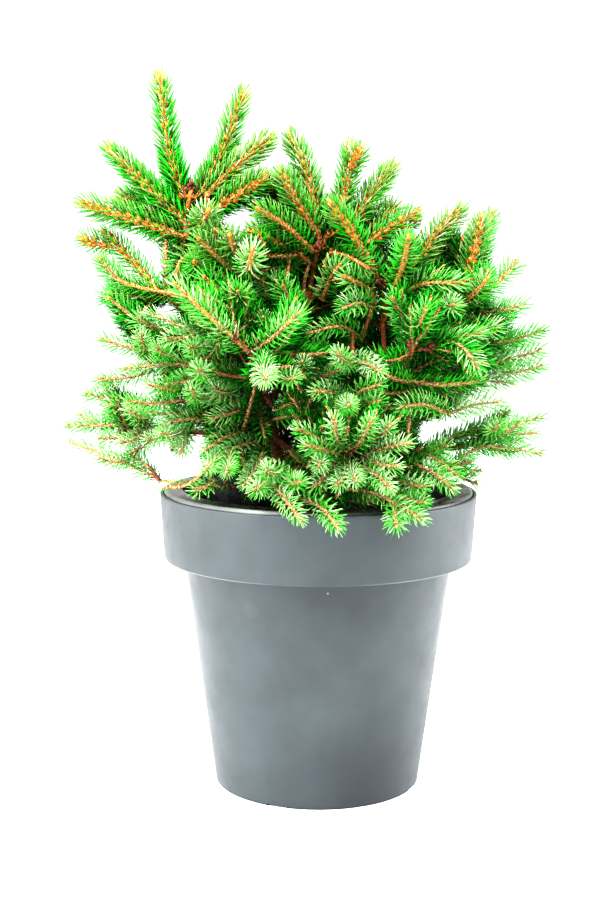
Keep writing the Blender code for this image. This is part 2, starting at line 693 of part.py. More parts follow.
def main():
    clear_scene()
    parts = new_collection("potted_nana_black_spruce")
    cutters = new_collection("cutters")
    grey = material("moulded grey plastic", (0.17, 0.19, 0.21), 0.45)
    black = material("moulded black plastic", (0.02, 0.02, 0.022), 0.35)
    peat = material("peat", (0.035, 0.02, 0.012), 0.95)
    bark = material("bark", (0.16, 0.065, 0.03), 0.85)
    needles = material("needles", (0.07, 0.32, 0.045), 0.55)

    make_pot(parts, cutters, grey)
    make_grower_pot(parts, black)
    make_soil(parts, peat)
    limbs = plan_limbs()
    make_limbs(limbs, parts, cutters, bark)
    masses = [
        Mass(name, limb, point_at(limbs[limb].path, share)[0], tips, count)
        for name, limb, share, tips, count in MASSES
    ]
    for mass in masses:
        make_mass(mass, masses, limbs, parts, cutters, needles)
    bpy.data.collections.remove(cutters)


main()
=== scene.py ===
"""Looks of the potted nana black spruce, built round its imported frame.

The file follows the plant as it is put together: the grey pot, the black grower's pot in it, the peat, the
trunk and boughs, the shoots and their wood, the needles, the pegs they stand on and the buds, and then the
studio. The model is in metres, +Z up, with its front towards -Y. Numbers times MM are millimetres.
"""

import math

import bmesh
import bpy
import numpy as np
from mathutils import Matrix, Vector


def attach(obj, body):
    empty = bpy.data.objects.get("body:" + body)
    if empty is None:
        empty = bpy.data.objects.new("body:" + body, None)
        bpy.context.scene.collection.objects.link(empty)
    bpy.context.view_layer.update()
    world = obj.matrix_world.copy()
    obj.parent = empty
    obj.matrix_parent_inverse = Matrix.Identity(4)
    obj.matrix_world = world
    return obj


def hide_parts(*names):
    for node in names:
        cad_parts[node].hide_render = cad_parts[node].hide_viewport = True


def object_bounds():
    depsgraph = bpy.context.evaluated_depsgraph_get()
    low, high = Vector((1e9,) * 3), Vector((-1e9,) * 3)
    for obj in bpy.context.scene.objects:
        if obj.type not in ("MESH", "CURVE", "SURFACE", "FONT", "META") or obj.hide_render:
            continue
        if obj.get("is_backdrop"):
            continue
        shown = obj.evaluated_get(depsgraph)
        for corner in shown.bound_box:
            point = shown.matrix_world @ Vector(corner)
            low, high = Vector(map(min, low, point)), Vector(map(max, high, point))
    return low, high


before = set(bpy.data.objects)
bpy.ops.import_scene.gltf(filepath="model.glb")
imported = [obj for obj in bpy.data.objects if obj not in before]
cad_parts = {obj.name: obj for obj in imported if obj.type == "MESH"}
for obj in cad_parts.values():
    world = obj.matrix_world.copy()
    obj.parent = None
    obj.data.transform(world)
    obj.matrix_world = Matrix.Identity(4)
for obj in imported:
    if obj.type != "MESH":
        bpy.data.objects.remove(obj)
cad_low, cad_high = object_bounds()


# The grey outer pot: injection-moulded polypropylene, a tapering body under a wide plain band, with four
# drain holes in its floor and a drain notch near each. Its skin is satin, a little mottled and streaked by
# the flow of the plastic, with a chip and a light scuff. A painted highlight runs along the band's lower
# edge, and painted shade lies on its front and along its foot.
MM = 0.001
POT_HEIGHT = 177.4 * MM
POT_FOOT_RADIUS = 61.6 * MM
POT_SHOULDER_RADIUS = 80.5 * MM
BAND_HEIGHT = 39.6 * MM
BAND_TOP_RADIUS = 95.0 * MM
BAND_FOOT_RADIUS = 92.6 * MM
POT_WALL = 1.9 * MM
POT_FLOOR = 3.0 * MM
POT_EDGE = 1.6 * MM
FOOT_EDGE = 0.8 * MM
LIP_EDGE = 0.8 * MM
MOUTH_DEPTH = 10 * MM
POT_STEPS = 192
ROW_SPACING = 3.0 * MM
DRAIN_RADIUS = 5.0 * MM
DRAIN_CIRCLE = 42.0 * MM
DRAIN_COUNT = 4
DRAIN_TURN = math.radians(-119)
NOTCH_TURN = math.radians(7)
NOTCH_HALF_WIDTH = 6.0 * MM
NOTCH_HEIGHT = 1.2 * MM
FLOW_CLOUD = 35 * MM
STREAK_LENGTH = 6 * MM
STREAK_WIDTH = 0.7 * MM
DULL_SPOT = 12 * MM
MOULD_GRAIN = 0.8 * MM
# The painted highlight along the band's lower edge: its width and its grey.
BAND_HIGHLIGHT_WIDTH = 0.9 * MM
BAND_HIGHLIGHT_GREY = "#5C6468"
# Marks on the pot's front, in mm: centre, how far out each fades, its full core, how strong it is, its
# colour. They are a chip, a dusty scuff, and two patches of painted shade: one low on the right and one
# across the middle of the front.
POT_MARKS_AND_SHADE = (
    ((5.7, -80.2, 131.5), 1.2, 0.5, 0.9, "#A4ABAB"),
    ((-39, -70, 119), 8, 1, 0.2, "#5A5850"),
    ((30, -56, 14), 60, 5, 0.7, "#131A21"),
    ((8, -80, 128), 48, 5, 0.3, "#15191E"),
)
band_foot = POT_HEIGHT - BAND_HEIGHT


def linear(code):
    """An sRGB hex colour as linear RGBA: each channel, past a short straight foot, to the power 2.4."""
    channels = np.array([int(code[place : place + 2], 16) for place in (1, 3, 5)]) / 255
    curved = ((channels + 0.055) / 1.055) ** 2.4
    return (*np.where(channels <= 0.04045, channels / 12.92, curved), 1.0)


def add_node(tree, kind, inputs, stops=(), **settings):
    """One shader node with its settings, inputs and, for a colour ramp, its stops of place and colour.

    Inputs go by name or number: a value, an output, or a node, which stands for its first live output.
    """
    made = tree.nodes.new("ShaderNode" + kind)
    for name, value in settings.items():
        setattr(made, name, value)
    for key, value in inputs.items():
        if isinstance(value, bpy.types.Node):
            value = next(output for output in value.outputs if output.enabled)
        if isinstance(value, bpy.types.NodeSocket):
            tree.links.new(value, made.inputs[key])
        else:
            made.inputs[key].default_value = value
    for index, (position, code) in enumerate(stops):
        elements = made.color_ramp.elements
        element = elements[index] if index < len(elements) else elements.new(position)
        element.position = position
        element.color = linear(code)
    return made


def new_material(name):
    """An empty material with its node tree and, for its patterns, the place on the object in metres."""
    made = bpy.data.materials.new(name)
    made.use_nodes = True
    made.node_tree.nodes.clear()
    return made, made.node_tree, add_node(made.node_tree, "TexCoord", {}).outputs["Object"]


def put_mesh(name, points, faces, surface):
    """An object from its points and its faces: a list of whole arrays, each of faces of one size."""
    corners = np.concatenate([part.ravel() for part in faces]).astype(np.int32)
    sizes = np.concatenate([np.full(len(part), part.shape[1]) for part in faces])
    mesh = bpy.data.meshes.new(name)
    mesh.vertices.add(len(points))
    mesh.vertices.foreach_set("co", np.ascontiguousarray(points, np.float32).ravel())
    mesh.loops.add(len(corners))
    mesh.loops.foreach_set("vertex_index", corners)
    mesh.polygons.add(len(sizes))
    mesh.polygons.foreach_set("loop_start", (np.cumsum(sizes) - sizes).astype(np.int32))
    mesh.update(calc_edges=True)
    mesh.shade_smooth()
    mesh.materials.append(surface)
    made = bpy.data.objects.new(name, mesh)
    bpy.context.scene.collection.objects.link(made)
    return made


def rounded_profile(corners, spacing, count=6):
    """A profile through (radius, height, rounding) corners, with rows at most one spacing apart.

    A rounded corner is a curve from one side to the other, weighted (1-t)^2, 2t(1-t), t^2 towards it.
    """
    places = np.array([corner[:2] for corner in corners])
    points = [places[:1]]
    for before, here, after, corner in zip(places[:-2], places[1:-1], places[2:], corners[1:-1]):
        into = (before - here) / np.linalg.norm(before - here)
        out = (after - here) / np.linalg.norm(after - here)
        t = np.linspace(0, 1, count + 1)[:, None] if corner[2] else np.array([[0.5]])
        start, end = here + into * corner[2], here + out * corner[2]
        points.append((1 - t) ** 2 * start + 2 * t * (1 - t) * here + t**2 * end)
    points = np.vstack([*points, places[-1:]])
    lengths = np.concatenate([[0], np.cumsum(np.linalg.norm(np.diff(points, axis=0), axis=1))])
    rows = [
        np.linspace(start, end, math.ceil((end - start) / spacing) + 1)[:-1]
        for start, end in zip(lengths[:-1], lengths[1:])
    ]
    rows = np.append(np.concatenate(rows), lengths[-1])
    return np.stack([np.interp(rows, lengths, points[:, axis]) for axis in range(2)], axis=-1)


def tidy_shell(mesh):
    """Welds a shell's doubled points, drops what then has no face, and points its faces outwards."""
    bm = bmesh.new()
    bm.from_mesh(mesh)
    bmesh.ops.remove_doubles(bm, verts=bm.verts, dist=0.002 * MM)
    bmesh.ops.delete(bm, geom=[edge for edge in bm.edges if not edge.link_faces], context="EDGES")
    bmesh.ops.delete(bm, geom=[vert for vert in bm.verts if not vert.link_faces], context="VERTS")
    bmesh.ops.recalc_face_normals(bm, faces=bm.faces)
    bm.to_mesh(mesh)
    bm.free()
    mesh.shade_smooth()
    mesh.set_sharp_from_angle(angle=math.radians(40))


def ring_faces(rows, steps):
    """The faces of a grid whose every row of points closes on itself: one array of four-cornered faces."""
    row, column = np.meshgrid(np.arange(rows - 1), np.arange(steps), indexing="ij")
    after = (column + 1) % steps
    rows_of_corners = np.stack([row, row, row + 1, row + 1], axis=-1) * steps
    return (rows_of_corners + np.stack([column, after, after, column], axis=-1)).reshape(-1, 4)


def lathe(name, profile, steps, surface, rise=None):
    """A surface of revolution: the profile's radius times the cosine and sine of a turn, at its height.

    Rise, if given, adds to the height at each place.
    """
    turns = np.arange(steps) * math.tau / steps
    radius, height = (np.repeat(profile[:, axis, None], steps, axis=1) for axis in range(2))
    across, along = radius * np.cos(turns), radius * np.sin(turns)
    if rise:
        height = height + rise(across, along, height)
    points = np.stack([across, along, height], axis=-1).reshape(-1, 3)
    made = put_mesh(name, points, [ring_faces(len(profile), steps)], surface)
    tidy_shell(made.data)
    return made


def cut_away(target, cutters):
    """Cuts a group of solids out of a piece, applies that, and removes them."""
    group = bpy.data.collections.new("cutters")
    bpy.context.scene.collection.children.link(group)
    for cutter in cutters:
        group.objects.link(cutter)
    modifier = target.modifiers.new("cut", "BOOLEAN")
    modifier.operation = "DIFFERENCE"
    modifier.operand_type = "COLLECTION"
    modifier.collection = group
    modifier.solver = "MANIFOLD"
    graph = bpy.context.evaluated_depsgraph_get()
    old, target.data = target.data, bpy.data.meshes.new_from_object(target.evaluated_get(graph))
    target.modifiers.clear()
    bpy.data.meshes.remove(old)
    for cutter in cutters:
        bpy.data.meshes.remove(cutter.data)
    bpy.data.collections.remove(group)


def prism(name, sides, radius, height, centre, turn):
    """An upright prism of so many sides, for cutting."""
    bm = bmesh.new()
    place = Matrix.Translation(centre) @ Matrix.Rotation(turn + math.pi / sides, 4, "Z")
    bmesh.ops.create_cone(
        bm, cap_ends=True, segments=sides, radius1=radius, radius2=radius, depth=height, matrix=place
    )
    mesh = bpy.data.meshes.new(name)
    bm.to_mesh(mesh)
    bm.free()
    return bpy.data.objects.new(name, mesh)


# Grey polypropylene from a grained mould: satin, and bright at glancing angles. Flow clouds are some 35 mm
# across, streaks round the wall 6 mm long, dull spots some 12 mm, and the mould's grain 0.8 mm.
polypropylene, tree, place = new_material("grey_moulded_polypropylene")
inputs = {"Vector": place, "Scale": 1 / FLOW_CLOUD, "Detail": 5.0, "Roughness": 0.6}
clouds = add_node(tree, "TexNoise", inputs)
finer = (1 / STREAK_LENGTH, 1 / STREAK_LENGTH, 1 / STREAK_WIDTH)
drawn_out = add_node(tree, "Mapping", {"Vector": place, "Scale": finer})
streaks = add_node(tree, "TexNoise", {"Vector": drawn_out, "Scale": 1.0, "Detail": 3.0})
patches = add_node(tree, "Mix", {"Factor": 0.12, "A": clouds, "B": streaks})
greys = add_node(tree, "ValToRGB", {"Fac": patches}, ((0.32, "#2D3437"), (0.68, "#394043")))
# A painted highlight runs along the band's lower edge, stronger at the sides.
axes = add_node(tree, "SeparateXYZ", {"Vector": place})
inputs = {"Value": axes.outputs["Z"], "From Min": band_foot - BAND_HIGHLIGHT_WIDTH, "From Max": band_foot + 2 * BAND_HIGHLIGHT_WIDTH}
over_edge = add_node(tree, "MapRange", inputs)
stops = ((0.2, "#000000"), (0.4, BAND_HIGHLIGHT_GREY), (0.6, BAND_HIGHLIGHT_GREY), (0.8, "#000000"))
band_highlight = add_node(tree, "ValToRGB", {"Fac": over_edge}, stops)
off_centre = add_node(tree, "Math", {0: axes.outputs["X"]}, operation="ABSOLUTE")
inputs = {"Value": off_centre, "From Min": 20 * MM, "From Max": 52 * MM, "To Min": 0.08, "To Max": 1.0}
highlight_at_sides = add_node(tree, "MapRange", inputs)
inputs = {"Factor": highlight_at_sides, "A": greys, "B": band_highlight}
skin = add_node(tree, "Mix", inputs, data_type="RGBA", blend_type="LIGHTEN")
# Each entry is mixed into the skin: the chip and the scuff, and the patches of painted shade.
for centre, reach, core, strength, code in POT_MARKS_AND_SHADE:
    inputs = {0: place, 1: [value * MM for value in centre]}
    distance = add_node(tree, "VectorMath", inputs, operation="DISTANCE")
    inputs = {"Value": distance, "From Min": reach * MM, "From Max": core * MM, "To Max": strength}
    marked = add_node(tree, "MapRange", inputs, interpolation_type="SMOOTHSTEP")
    skin = add_node(tree, "Mix", {"Factor": marked, "A": skin, "B": linear(code)}, data_type="RGBA")
# A thin dark line of painted shade runs along the foot, where the pot meets the floor.
painted_foot_shade = add_node(tree, "MapRange", {"Value": axes.outputs["Z"], "From Min": 1.1 * MM, "From Max": 0.4 * MM})
skin = add_node(tree, "Mix", {"Factor": painted_foot_shade, "A": skin, "B": linear("#14140C")}, data_type="RGBA")
spots = add_node(tree, "TexNoise", {"Vector": place, "Scale": 1 / DULL_SPOT, "Detail": 6.0, "Roughness": 0.7})
inputs = {"Value": spots, "From Min": 0.3, "From Max": 0.7, "To Min": 0.36, "To Max": 0.48}
dulled = add_node(tree, "MapRange", inputs)
grain = add_node(tree, "TexNoise", {"Vector": place, "Scale": 1 / MOULD_GRAIN, "Detail": 2.0})
grained = add_node(tree, "Bump", {"Height": grain, "Distance": 0.02 * MM})
inputs = {"Base Color": skin, "Roughness": dulled, "IOR": 1.43, "Normal": grained}
add_node(tree, "OutputMaterial", {"Surface": add_node(tree, "BsdfPrincipled", inputs)})

mouth_radius = BAND_TOP_RADIUS - POT_WALL
pot_corners = (
    (mouth_radius, POT_HEIGHT - MOUTH_DEPTH, 0),
    (mouth_radius, POT_HEIGHT, LIP_EDGE / 2),
    (BAND_TOP_RADIUS, POT_HEIGHT, LIP_EDGE),
    (BAND_FOOT_RADIUS, band_foot, POT_EDGE),
    (POT_SHOULDER_RADIUS, band_foot, LIP_EDGE),
    (POT_FOOT_RADIUS, 0, FOOT_EDGE),
    (0, 0, 0),
    (0, POT_FLOOR, 0),
    (POT_FOOT_RADIUS - POT_WALL, POT_FLOOR, POT_EDGE),
    (POT_SHOULDER_RADIUS - POT_WALL, band_foot + POT_WALL, POT_EDGE),
    (BAND_FOOT_RADIUS - POT_WALL, band_foot + POT_WALL, POT_EDGE),
    (mouth_radius, POT_HEIGHT - MOUTH_DEPTH, 0),
)
pot = lathe("grey_pot", rounded_profile(pot_corners, ROW_SPACING), POT_STEPS, polypropylene)
cutters = []
for index in range(DRAIN_COUNT):
    turn = DRAIN_TURN + math.tau * index / DRAIN_COUNT
    way = np.array((math.cos(turn), math.sin(turn), 0))
    cutters.append(prism("drain", 32, DRAIN_RADIUS, 4 * POT_FLOOR, way * DRAIN_CIRCLE, turn))
    turn += NOTCH_TURN
    way = np.array((math.cos(turn), math.sin(turn), 0))
    half_diagonal = NOTCH_HALF_WIDTH * math.sqrt(2)
    cutters.append(prism("notch", 4, half_diagonal, 2 * NOTCH_HEIGHT, way * POT_FOOT_RADIUS, turn))
cut_away(pot, cutters)
tidy_shell(pot.data)
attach(pot, "root")
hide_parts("pot")


# The grower's pot: thin glossy black polypropylene, thermoformed. It stands on the grey pot's floor, and its
# flange fills the band's mouth, falls a little to its outer edge and turns down there.
GROWER_FOOT_RADIUS = 57.0 * MM
GROWER_WALL = 1.5 * MM
GROWER_EDGE = 0.9 * MM
FLANGE_RADIUS = BAND_TOP_RADIUS - POT_WALL - 0.4 * MM
FLANGE_INNER_RADIUS = 83.0 * MM
FLANGE_TOP = POT_HEIGHT + 2.6 * MM
FLANGE_FALL = 0.9 * MM
FLANGE_LIP = 5.0 * MM
FLANGE_ROUNDING = 2.6 * MM
GAP = 0.3 * MM
DUST_PATCH = 9 * MM
RIPPLE = 14 * MM
# How strong the painted highlight on the flange's edge is, from its left to its right.
FLANGE_HIGHLIGHT = (
    (0.0, "#909090"), (0.2, "#B0B0B0"), (0.32, "#E8E8E8"),
    (0.42, "#303030"), (0.8, "#181818"), (0.95, "#606060"),
)
flange_edge = FLANGE_TOP - FLANGE_FALL
grower_foot = POT_FLOOR + GAP
under_flange = flange_edge - GROWER_WALL

# Glossy black plastic: near black under a little dust some 9 mm across in its patches, with clear reflections
# that a slight ripple of 14 mm breaks up. A painted highlight lies on the flange's outer edge, most at its
# front left.
black_plastic, tree, place = new_material("black_thermoformed_plastic")
inputs = {"Vector": place, "Scale": 1 / DUST_PATCH, "Detail": 5.0, "Roughness": 0.65}
dust = add_node(tree, "TexNoise", inputs)
blacks = add_node(tree, "ValToRGB", {"Fac": dust}, ((0.35, "#141415"), (0.75, "#2A2826")))
axes = add_node(tree, "SeparateXYZ", {"Vector": place})
level = add_node(tree, "VectorMath", {0: place, 1: (1, 1, 0)}, operation="MULTIPLY")
from_axis = add_node(tree, "VectorMath", {0: level}, operation="LENGTH")
inputs = {"Value": axes.outputs["X"], "From Min": -FLANGE_RADIUS, "From Max": FLANGE_RADIUS}
flange_highlight = add_node(tree, "ValToRGB", {"Fac": add_node(tree, "MapRange", inputs)}, FLANGE_HIGHLIGHT)
# The painted highlight keeps to the flange's rounded outer edge.
for value, start, end in (
    (from_axis, FLANGE_RADIUS - 2.4 * MM, FLANGE_RADIUS - 1.4 * MM),
    (axes.outputs["Z"], flange_edge - 2.2 * MM, flange_edge - 1.2 * MM),
):
    on_edge = add_node(tree, "MapRange", {"Value": value, "From Min": start, "From Max": end})
    flange_highlight = add_node(tree, "Math", {0: on_edge, 1: flange_highlight}, operation="MULTIPLY")
skin = add_node(tree, "Mix", {"Factor": flange_highlight, "A": blacks, "B": linear("#8C908E")}, data_type="RGBA")
inputs = {"Value": dust, "From Min": 0.3, "From Max": 0.7, "To Min": 0.2, "To Max": 0.32}
dulled = add_node(tree, "MapRange", inputs)
ripple = add_node(tree, "TexNoise", {"Vector": place, "Scale": 1 / RIPPLE, "Detail": 2.0})
rippled = add_node(tree, "Bump", {"Height": ripple, "Distance": 0.06 * MM})
inputs = {"Base Color": skin, "Roughness": dulled, "IOR": 1.42, "Normal": rippled}
add_node(tree, "OutputMaterial", {"Surface": add_node(tree, "BsdfPrincipled", inputs)})


def grower_radius(height):
    """The grower's pot's outer radius, from its foot evenly out to under its flange."""
    share = (height - grower_foot) / (FLANGE_TOP - grower_foot)
    return GROWER_FOOT_RADIUS + (FLANGE_INNER_RADIUS - GROWER_FOOT_RADIUS) * share


grower_corners = (
    (0.5 * (FLANGE_INNER_RADIUS + FLANGE_RADIUS), 0.5 * (FLANGE_TOP + flange_edge), 0),
    (FLANGE_RADIUS, flange_edge, FLANGE_ROUNDING),
    (FLANGE_RADIUS, flange_edge - FLANGE_LIP, GROWER_WALL / 3),
    (FLANGE_RADIUS - GROWER_WALL, flange_edge - FLANGE_LIP, GROWER_WALL / 3),
    (FLANGE_RADIUS - GROWER_WALL, under_flange, GROWER_WALL / 3),
    (grower_radius(under_flange), under_flange, GROWER_WALL / 3),
    (GROWER_FOOT_RADIUS, grower_foot, GROWER_EDGE),
    (0, grower_foot, 0),
    (0, grower_foot + GROWER_WALL, 0),
    (GROWER_FOOT_RADIUS - GROWER_WALL, grower_foot + GROWER_WALL, GROWER_EDGE),
    (FLANGE_INNER_RADIUS - GROWER_WALL, FLANGE_TOP, 2 * GROWER_EDGE),
    (0.5 * (FLANGE_INNER_RADIUS + FLANGE_RADIUS), 0.5 * (FLANGE_TOP + flange_edge), 0),
)
grower = lathe("black_grower_pot", rounded_profile(grower_corners, ROW_SPACING), POT_STEPS, black_plastic)
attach(grower, "root")
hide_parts("grower_pot")


# The potting peat: dark brown, crumbly and dry on top, mounded round the trunk, with loose crumbs lying on
# it. It fills the grower's pot.
SEED = 41
SOIL_TOP = 159.0 * MM
SOIL_MOUND = 3.0 * MM
SOIL_CROWN_RADIUS = 26.0 * MM
SOIL_STEPS = 160
SOIL_TOP_ROWS = 60
SOIL_SIDE_ROWS = 12
SOIL_FOOT_ROWS = 8
SOIL_ROUGH = 1.1 * MM
PEAT_FIBRE = 3 * MM
PEAT_BROWNS = ((0.30, "#1A100A"), (0.55, "#3A2516"), (0.80, "#6B4A2E"))
CRUMB_COUNT = 2600
CRUMB_SIZES = (0.5 * MM, 2.1 * MM)
UP = np.array((0.0, 0.0, 1.0))

rng = np.random.default_rng(SEED)


def lattice_noise(points, size, seed):
    """Smooth noise from 0 to 1: a hashed value at each corner of a lattice, blended by 3t^2 - 2t^3."""
    places = points / size
    cell = np.floor(places).astype(np.int64)
    t = places - cell
    t = t * t * (3 - 2 * t)
    total = 0
    for corner in np.ndindex(2, 2, 2):
        here = cell + corner
        mixed = here[..., 0] * 73856093 ^ here[..., 1] * 19349663 ^ here[..., 2] * 83492791 ^ seed * 2654435
        mixed = (mixed ^ (mixed >> 13)) * 1274126177 & 0x7FFFFFFF
        mixed = (mixed ^ (mixed >> 15)) & 0xFFFF
        weight = np.prod(np.where(corner, t, 1 - t), axis=-1)
        total = total + weight * mixed / 0xFFFF
    return total


def unit(vectors):
    """The vectors over their own lengths."""
    return vectors / np.linalg.norm(vectors, axis=-1, keepdims=True)


def turned_about(count):
    """Random turns in space, as matrices, from unit quaternions."""
    w, x, y, z = np.moveaxis(unit(rng.normal(size=(count, 4))), -1, 0)
    rows = (
        (1 - 2 * (y * y + z * z), 2 * (x * y - w * z), 2 * (x * z + w * y)),
        (2 * (x * y + w * z), 1 - 2 * (x * x + z * z), 2 * (y * z - w * x)),
        (2 * (x * z - w * y), 2 * (y * z + w * x), 1 - 2 * (x * x + y * y)),
    )
    return np.moveaxis(np.array(rows), -1, 0)


def soil_height(across, along):
    """The peat's surface: level round the trunk, then falling evenly to its edge, with fine unevenness."""
    reach = np.hypot(across, along)
    edge = grower_radius(SOIL_TOP - SOIL_MOUND) - GROWER_WALL
    fall = np.clip((reach - SOIL_CROWN_RADIUS) / (edge - SOIL_CROWN_RADIUS), 0, 1)
    places = np.stack([across, along, 0 * across], axis=-1)
    rough = lattice_noise(places, 6 * MM, 1) + 0.6 * lattice_noise(places, 2.2 * MM, 2) - 0.8
    return SOIL_TOP - SOIL_MOUND * fall + SOIL_ROUGH * rough


# Peat: brown to almost black, matt, with paler dry fibres some 3 mm long.
peat, tree, place = new_material("dry_potting_peat")
inputs = {"Vector": place, "Scale": 1 / PEAT_FIBRE, "Detail": 8.0, "Roughness": 0.75}
fibres = add_node(tree, "TexNoise", inputs)
browns = add_node(tree, "ValToRGB", {"Fac": fibres}, PEAT_BROWNS)
crumbly = add_node(tree, "Bump", {"Height": fibres, "Distance": 0.6 * MM})
inputs = {"Base Color": browns, "Roughness": 0.95, "Normal": crumbly}
add_node(tree, "OutputMaterial", {"Surface": add_node(tree, "BsdfPrincipled", inputs)})

soil_foot = grower_foot + GROWER_WALL + GAP
soil_edge = grower_radius(SOIL_TOP - SOIL_MOUND) - GROWER_WALL - GAP
foot_edge = grower_radius(soil_foot) - GROWER_WALL - GAP
side_rows = np.linspace(0, 1, SOIL_SIDE_ROWS)[1:, None]
foot_rows = np.linspace(foot_edge, 0, SOIL_FOOT_ROWS)[1:]
soil_profile = np.vstack([
    np.stack([np.linspace(0, soil_edge, SOIL_TOP_ROWS), np.full(SOIL_TOP_ROWS, SOIL_TOP)], axis=-1),
    (soil_edge, SOIL_TOP) + side_rows * ((foot_edge, soil_foot) - np.array((soil_edge, SOIL_TOP))),
    np.stack([foot_rows, np.full(len(foot_rows), soil_foot)], axis=-1),
])


def soil_rise(across, along, height):
    """Sets the top rows on the peat's surface and leaves the sides and foot."""
    return np.where(height > SOIL_TOP - MM / 10, soil_height(across, along) - SOIL_TOP, 0)


soil = lathe("peat_soil", soil_profile, SOIL_STEPS, peat, soil_rise)
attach(soil, "root")
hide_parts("soil")

# Crumbs are eight-faced lumps, each drawn out at random, half sunk where they lie.
LUMP_POINTS = np.array(((1, 0, 0), (-1, 0, 0), (0, 1, 0), (0, -1, 0), (0, 0, 1), (0, 0, -1)), float)
LUMP_FACES = np.array((
    (0, 2, 4), (2, 1, 4), (1, 3, 4), (3, 0, 4), (2, 0, 5), (1, 2, 5), (3, 1, 5), (0, 3, 5),
))


def put_many(name, shapes, faces, surface):
    """A joined mesh of like shapes, (shapes, points, 3): each has the same faces, on its own points."""
    first = shapes.shape[1] * np.arange(len(shapes))[:, None, None]
    joined = [(some + first).reshape(-1, some.shape[1]) for some in faces]
    return put_mesh(name, shapes.reshape(-1, 3), joined, surface)


reach = (soil_edge - 2.5 * MM) * np.sqrt(rng.uniform(0, 1, CRUMB_COUNT))
turns = rng.uniform(0, math.tau, CRUMB_COUNT)
across, along = reach * np.cos(turns), reach * np.sin(turns)
sizes = rng.uniform(*CRUMB_SIZES, (CRUMB_COUNT, 3)) * rng.uniform(0.4, 1, (CRUMB_COUNT, 1)) ** 2
centres = np.stack([across, along, soil_height(across, along) + 0.25 * sizes[:, 0]], axis=-1)
lumps = LUMP_POINTS * sizes[:, None] * rng.uniform(0.7, 1.15, (CRUMB_COUNT, 6, 1))
lumps = np.einsum("nij,nkj->nki", turned_about(CRUMB_COUNT), lumps) + centres[:, None]
crumbs = put_many("peat_crumbs", lumps, [LUMP_FACES], peat)
crumbs.data.shade_flat()
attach(crumbs, "root")


# The trunk and boughs: living wood, tapering, under thin reddish-brown bark that breaks into small scales.
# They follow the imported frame's own lines: a smooth curve through each limb's points, from the place where
# it leaves the limb that carries it.
TRUNK_KNOTS = ((-19, 0, 158), (-28, 0, 212), (-58, 6, 274), (-81, 8, 322), (-76, 5, 356))
TRUNK_FOOT_RADIUS = 4.9 * MM
TRUNK_TIP_RADIUS = 1.5 * MM
TRUNK_FLARE = 3.4 * MM
TRUNK_FLARE_HEIGHT = 7.0 * MM
TRUNK_POINTS = 18
BOUGH_POINTS = 8
# Each bough: limb it leaves, share of that limb's length, a point it passes, its tip, its radii.
BOUGHS = {
    "bough_centre": ("trunk", 0.31, (-12, -6, 272), (0, -9, 327), 2.6, 1.2),
    "bough_right_leader": ("trunk", 0.17, (33, -9, 226), (37, -12, 299), 3.0, 1.3),
    "bough_right_crown": ("bough_right_leader", 0.42, (66, 6, 250), (85, 0, 298), 2.1, 1.1),
    "bough_right_low": ("trunk", 0.08, (30, -14, 195), (76, -16, 206), 2.2, 1.1),
    "bough_front_right": ("bough_right_leader", 0.50, (45, -32, 244), (52, -50, 266), 1.8, 1.0),
    "bough_front": ("trunk", 0.35, (-31, -38, 240), (-36, -66, 263), 2.0, 1.0),
    "bough_front_low": ("trunk", 0.25, (-6, -38, 200), (17, -72, 208), 2.0, 1.0),
    "bough_left_low": ("trunk", 0.21, (-62, -4, 212), (-104, -10, 213), 2.2, 1.1),
    "bough_left_mid": ("trunk", 0.42, (-72, 2, 250), (-94, 0, 262), 1.9, 1.0),
    "bough_back_left": ("trunk", 0.375, (-52, 34, 250), (-68, 58, 275), 2.0, 1.0),
    "bough_back": ("trunk", 0.26, (-8, 34, 226), (2, 66, 268), 2.2, 1.0),
    "bough_back_right": ("trunk", 0.125, (26, 32, 196), (60, 58, 216), 2.1, 1.0),
}
SCALE_LENGTH = 3.2 * MM
SCALE_WIDTH = 1.5 * MM
RELIEF = 0.13
LIMB_ROW = 0.6 * MM
TRUNK_SIDES = 40
BOUGH_SIDES = 20
BARK_FLECK = 1.6 * MM
OLD_BROWNS = ((0.30, "#34180E"), (0.50, "#7A4630"), (0.68, "#B07A5A"), (0.85, "#D4AC8C"))
YOUNG_BROWNS = ((0.30, "#6A3416"), (0.50, "#B0662F"), (0.68, "#D9964F"), (0.85, "#EDC08A"))


def smooth_path(knots, count):
    """Points evenly along a Catmull-Rom curve: each knot's slope is half the step between its neighbours."""
    padded = np.vstack([2 * knots[0] - knots[1], knots, 2 * knots[-1] - knots[-2]])
    places = np.linspace(0, len(knots) - 1, count)
    index = np.minimum(places.astype(int), len(knots) - 2)
    t = (places - index)[:, None]
    p0, p1, p2, p3 = (padded[index + shift] for shift in range(4))
    return 0.5 * (
        2 * p1 + (p2 - p0) * t + (2 * p0 - 5 * p1 + 4 * p2 - p3) * t**2 + (3 * p1 - p0 - 3 * p2 + p3) * t**3
    )


def lengths_along(path):
    """How far along the path each of its points is."""
    return np.concatenate([[0], np.cumsum(np.linalg.norm(np.diff(path, axis=0), axis=1))])


def length_of(path):
    """The length of a whole path."""
    return lengths_along(path)[-1]


def at_share(path, shares):
    """The points at shares of the path's length."""
    lengths = lengths_along(path)
    return np.stack([np.interp(shares, lengths / lengths[-1], path[:, axis]) for axis in range(3)], axis=-1)


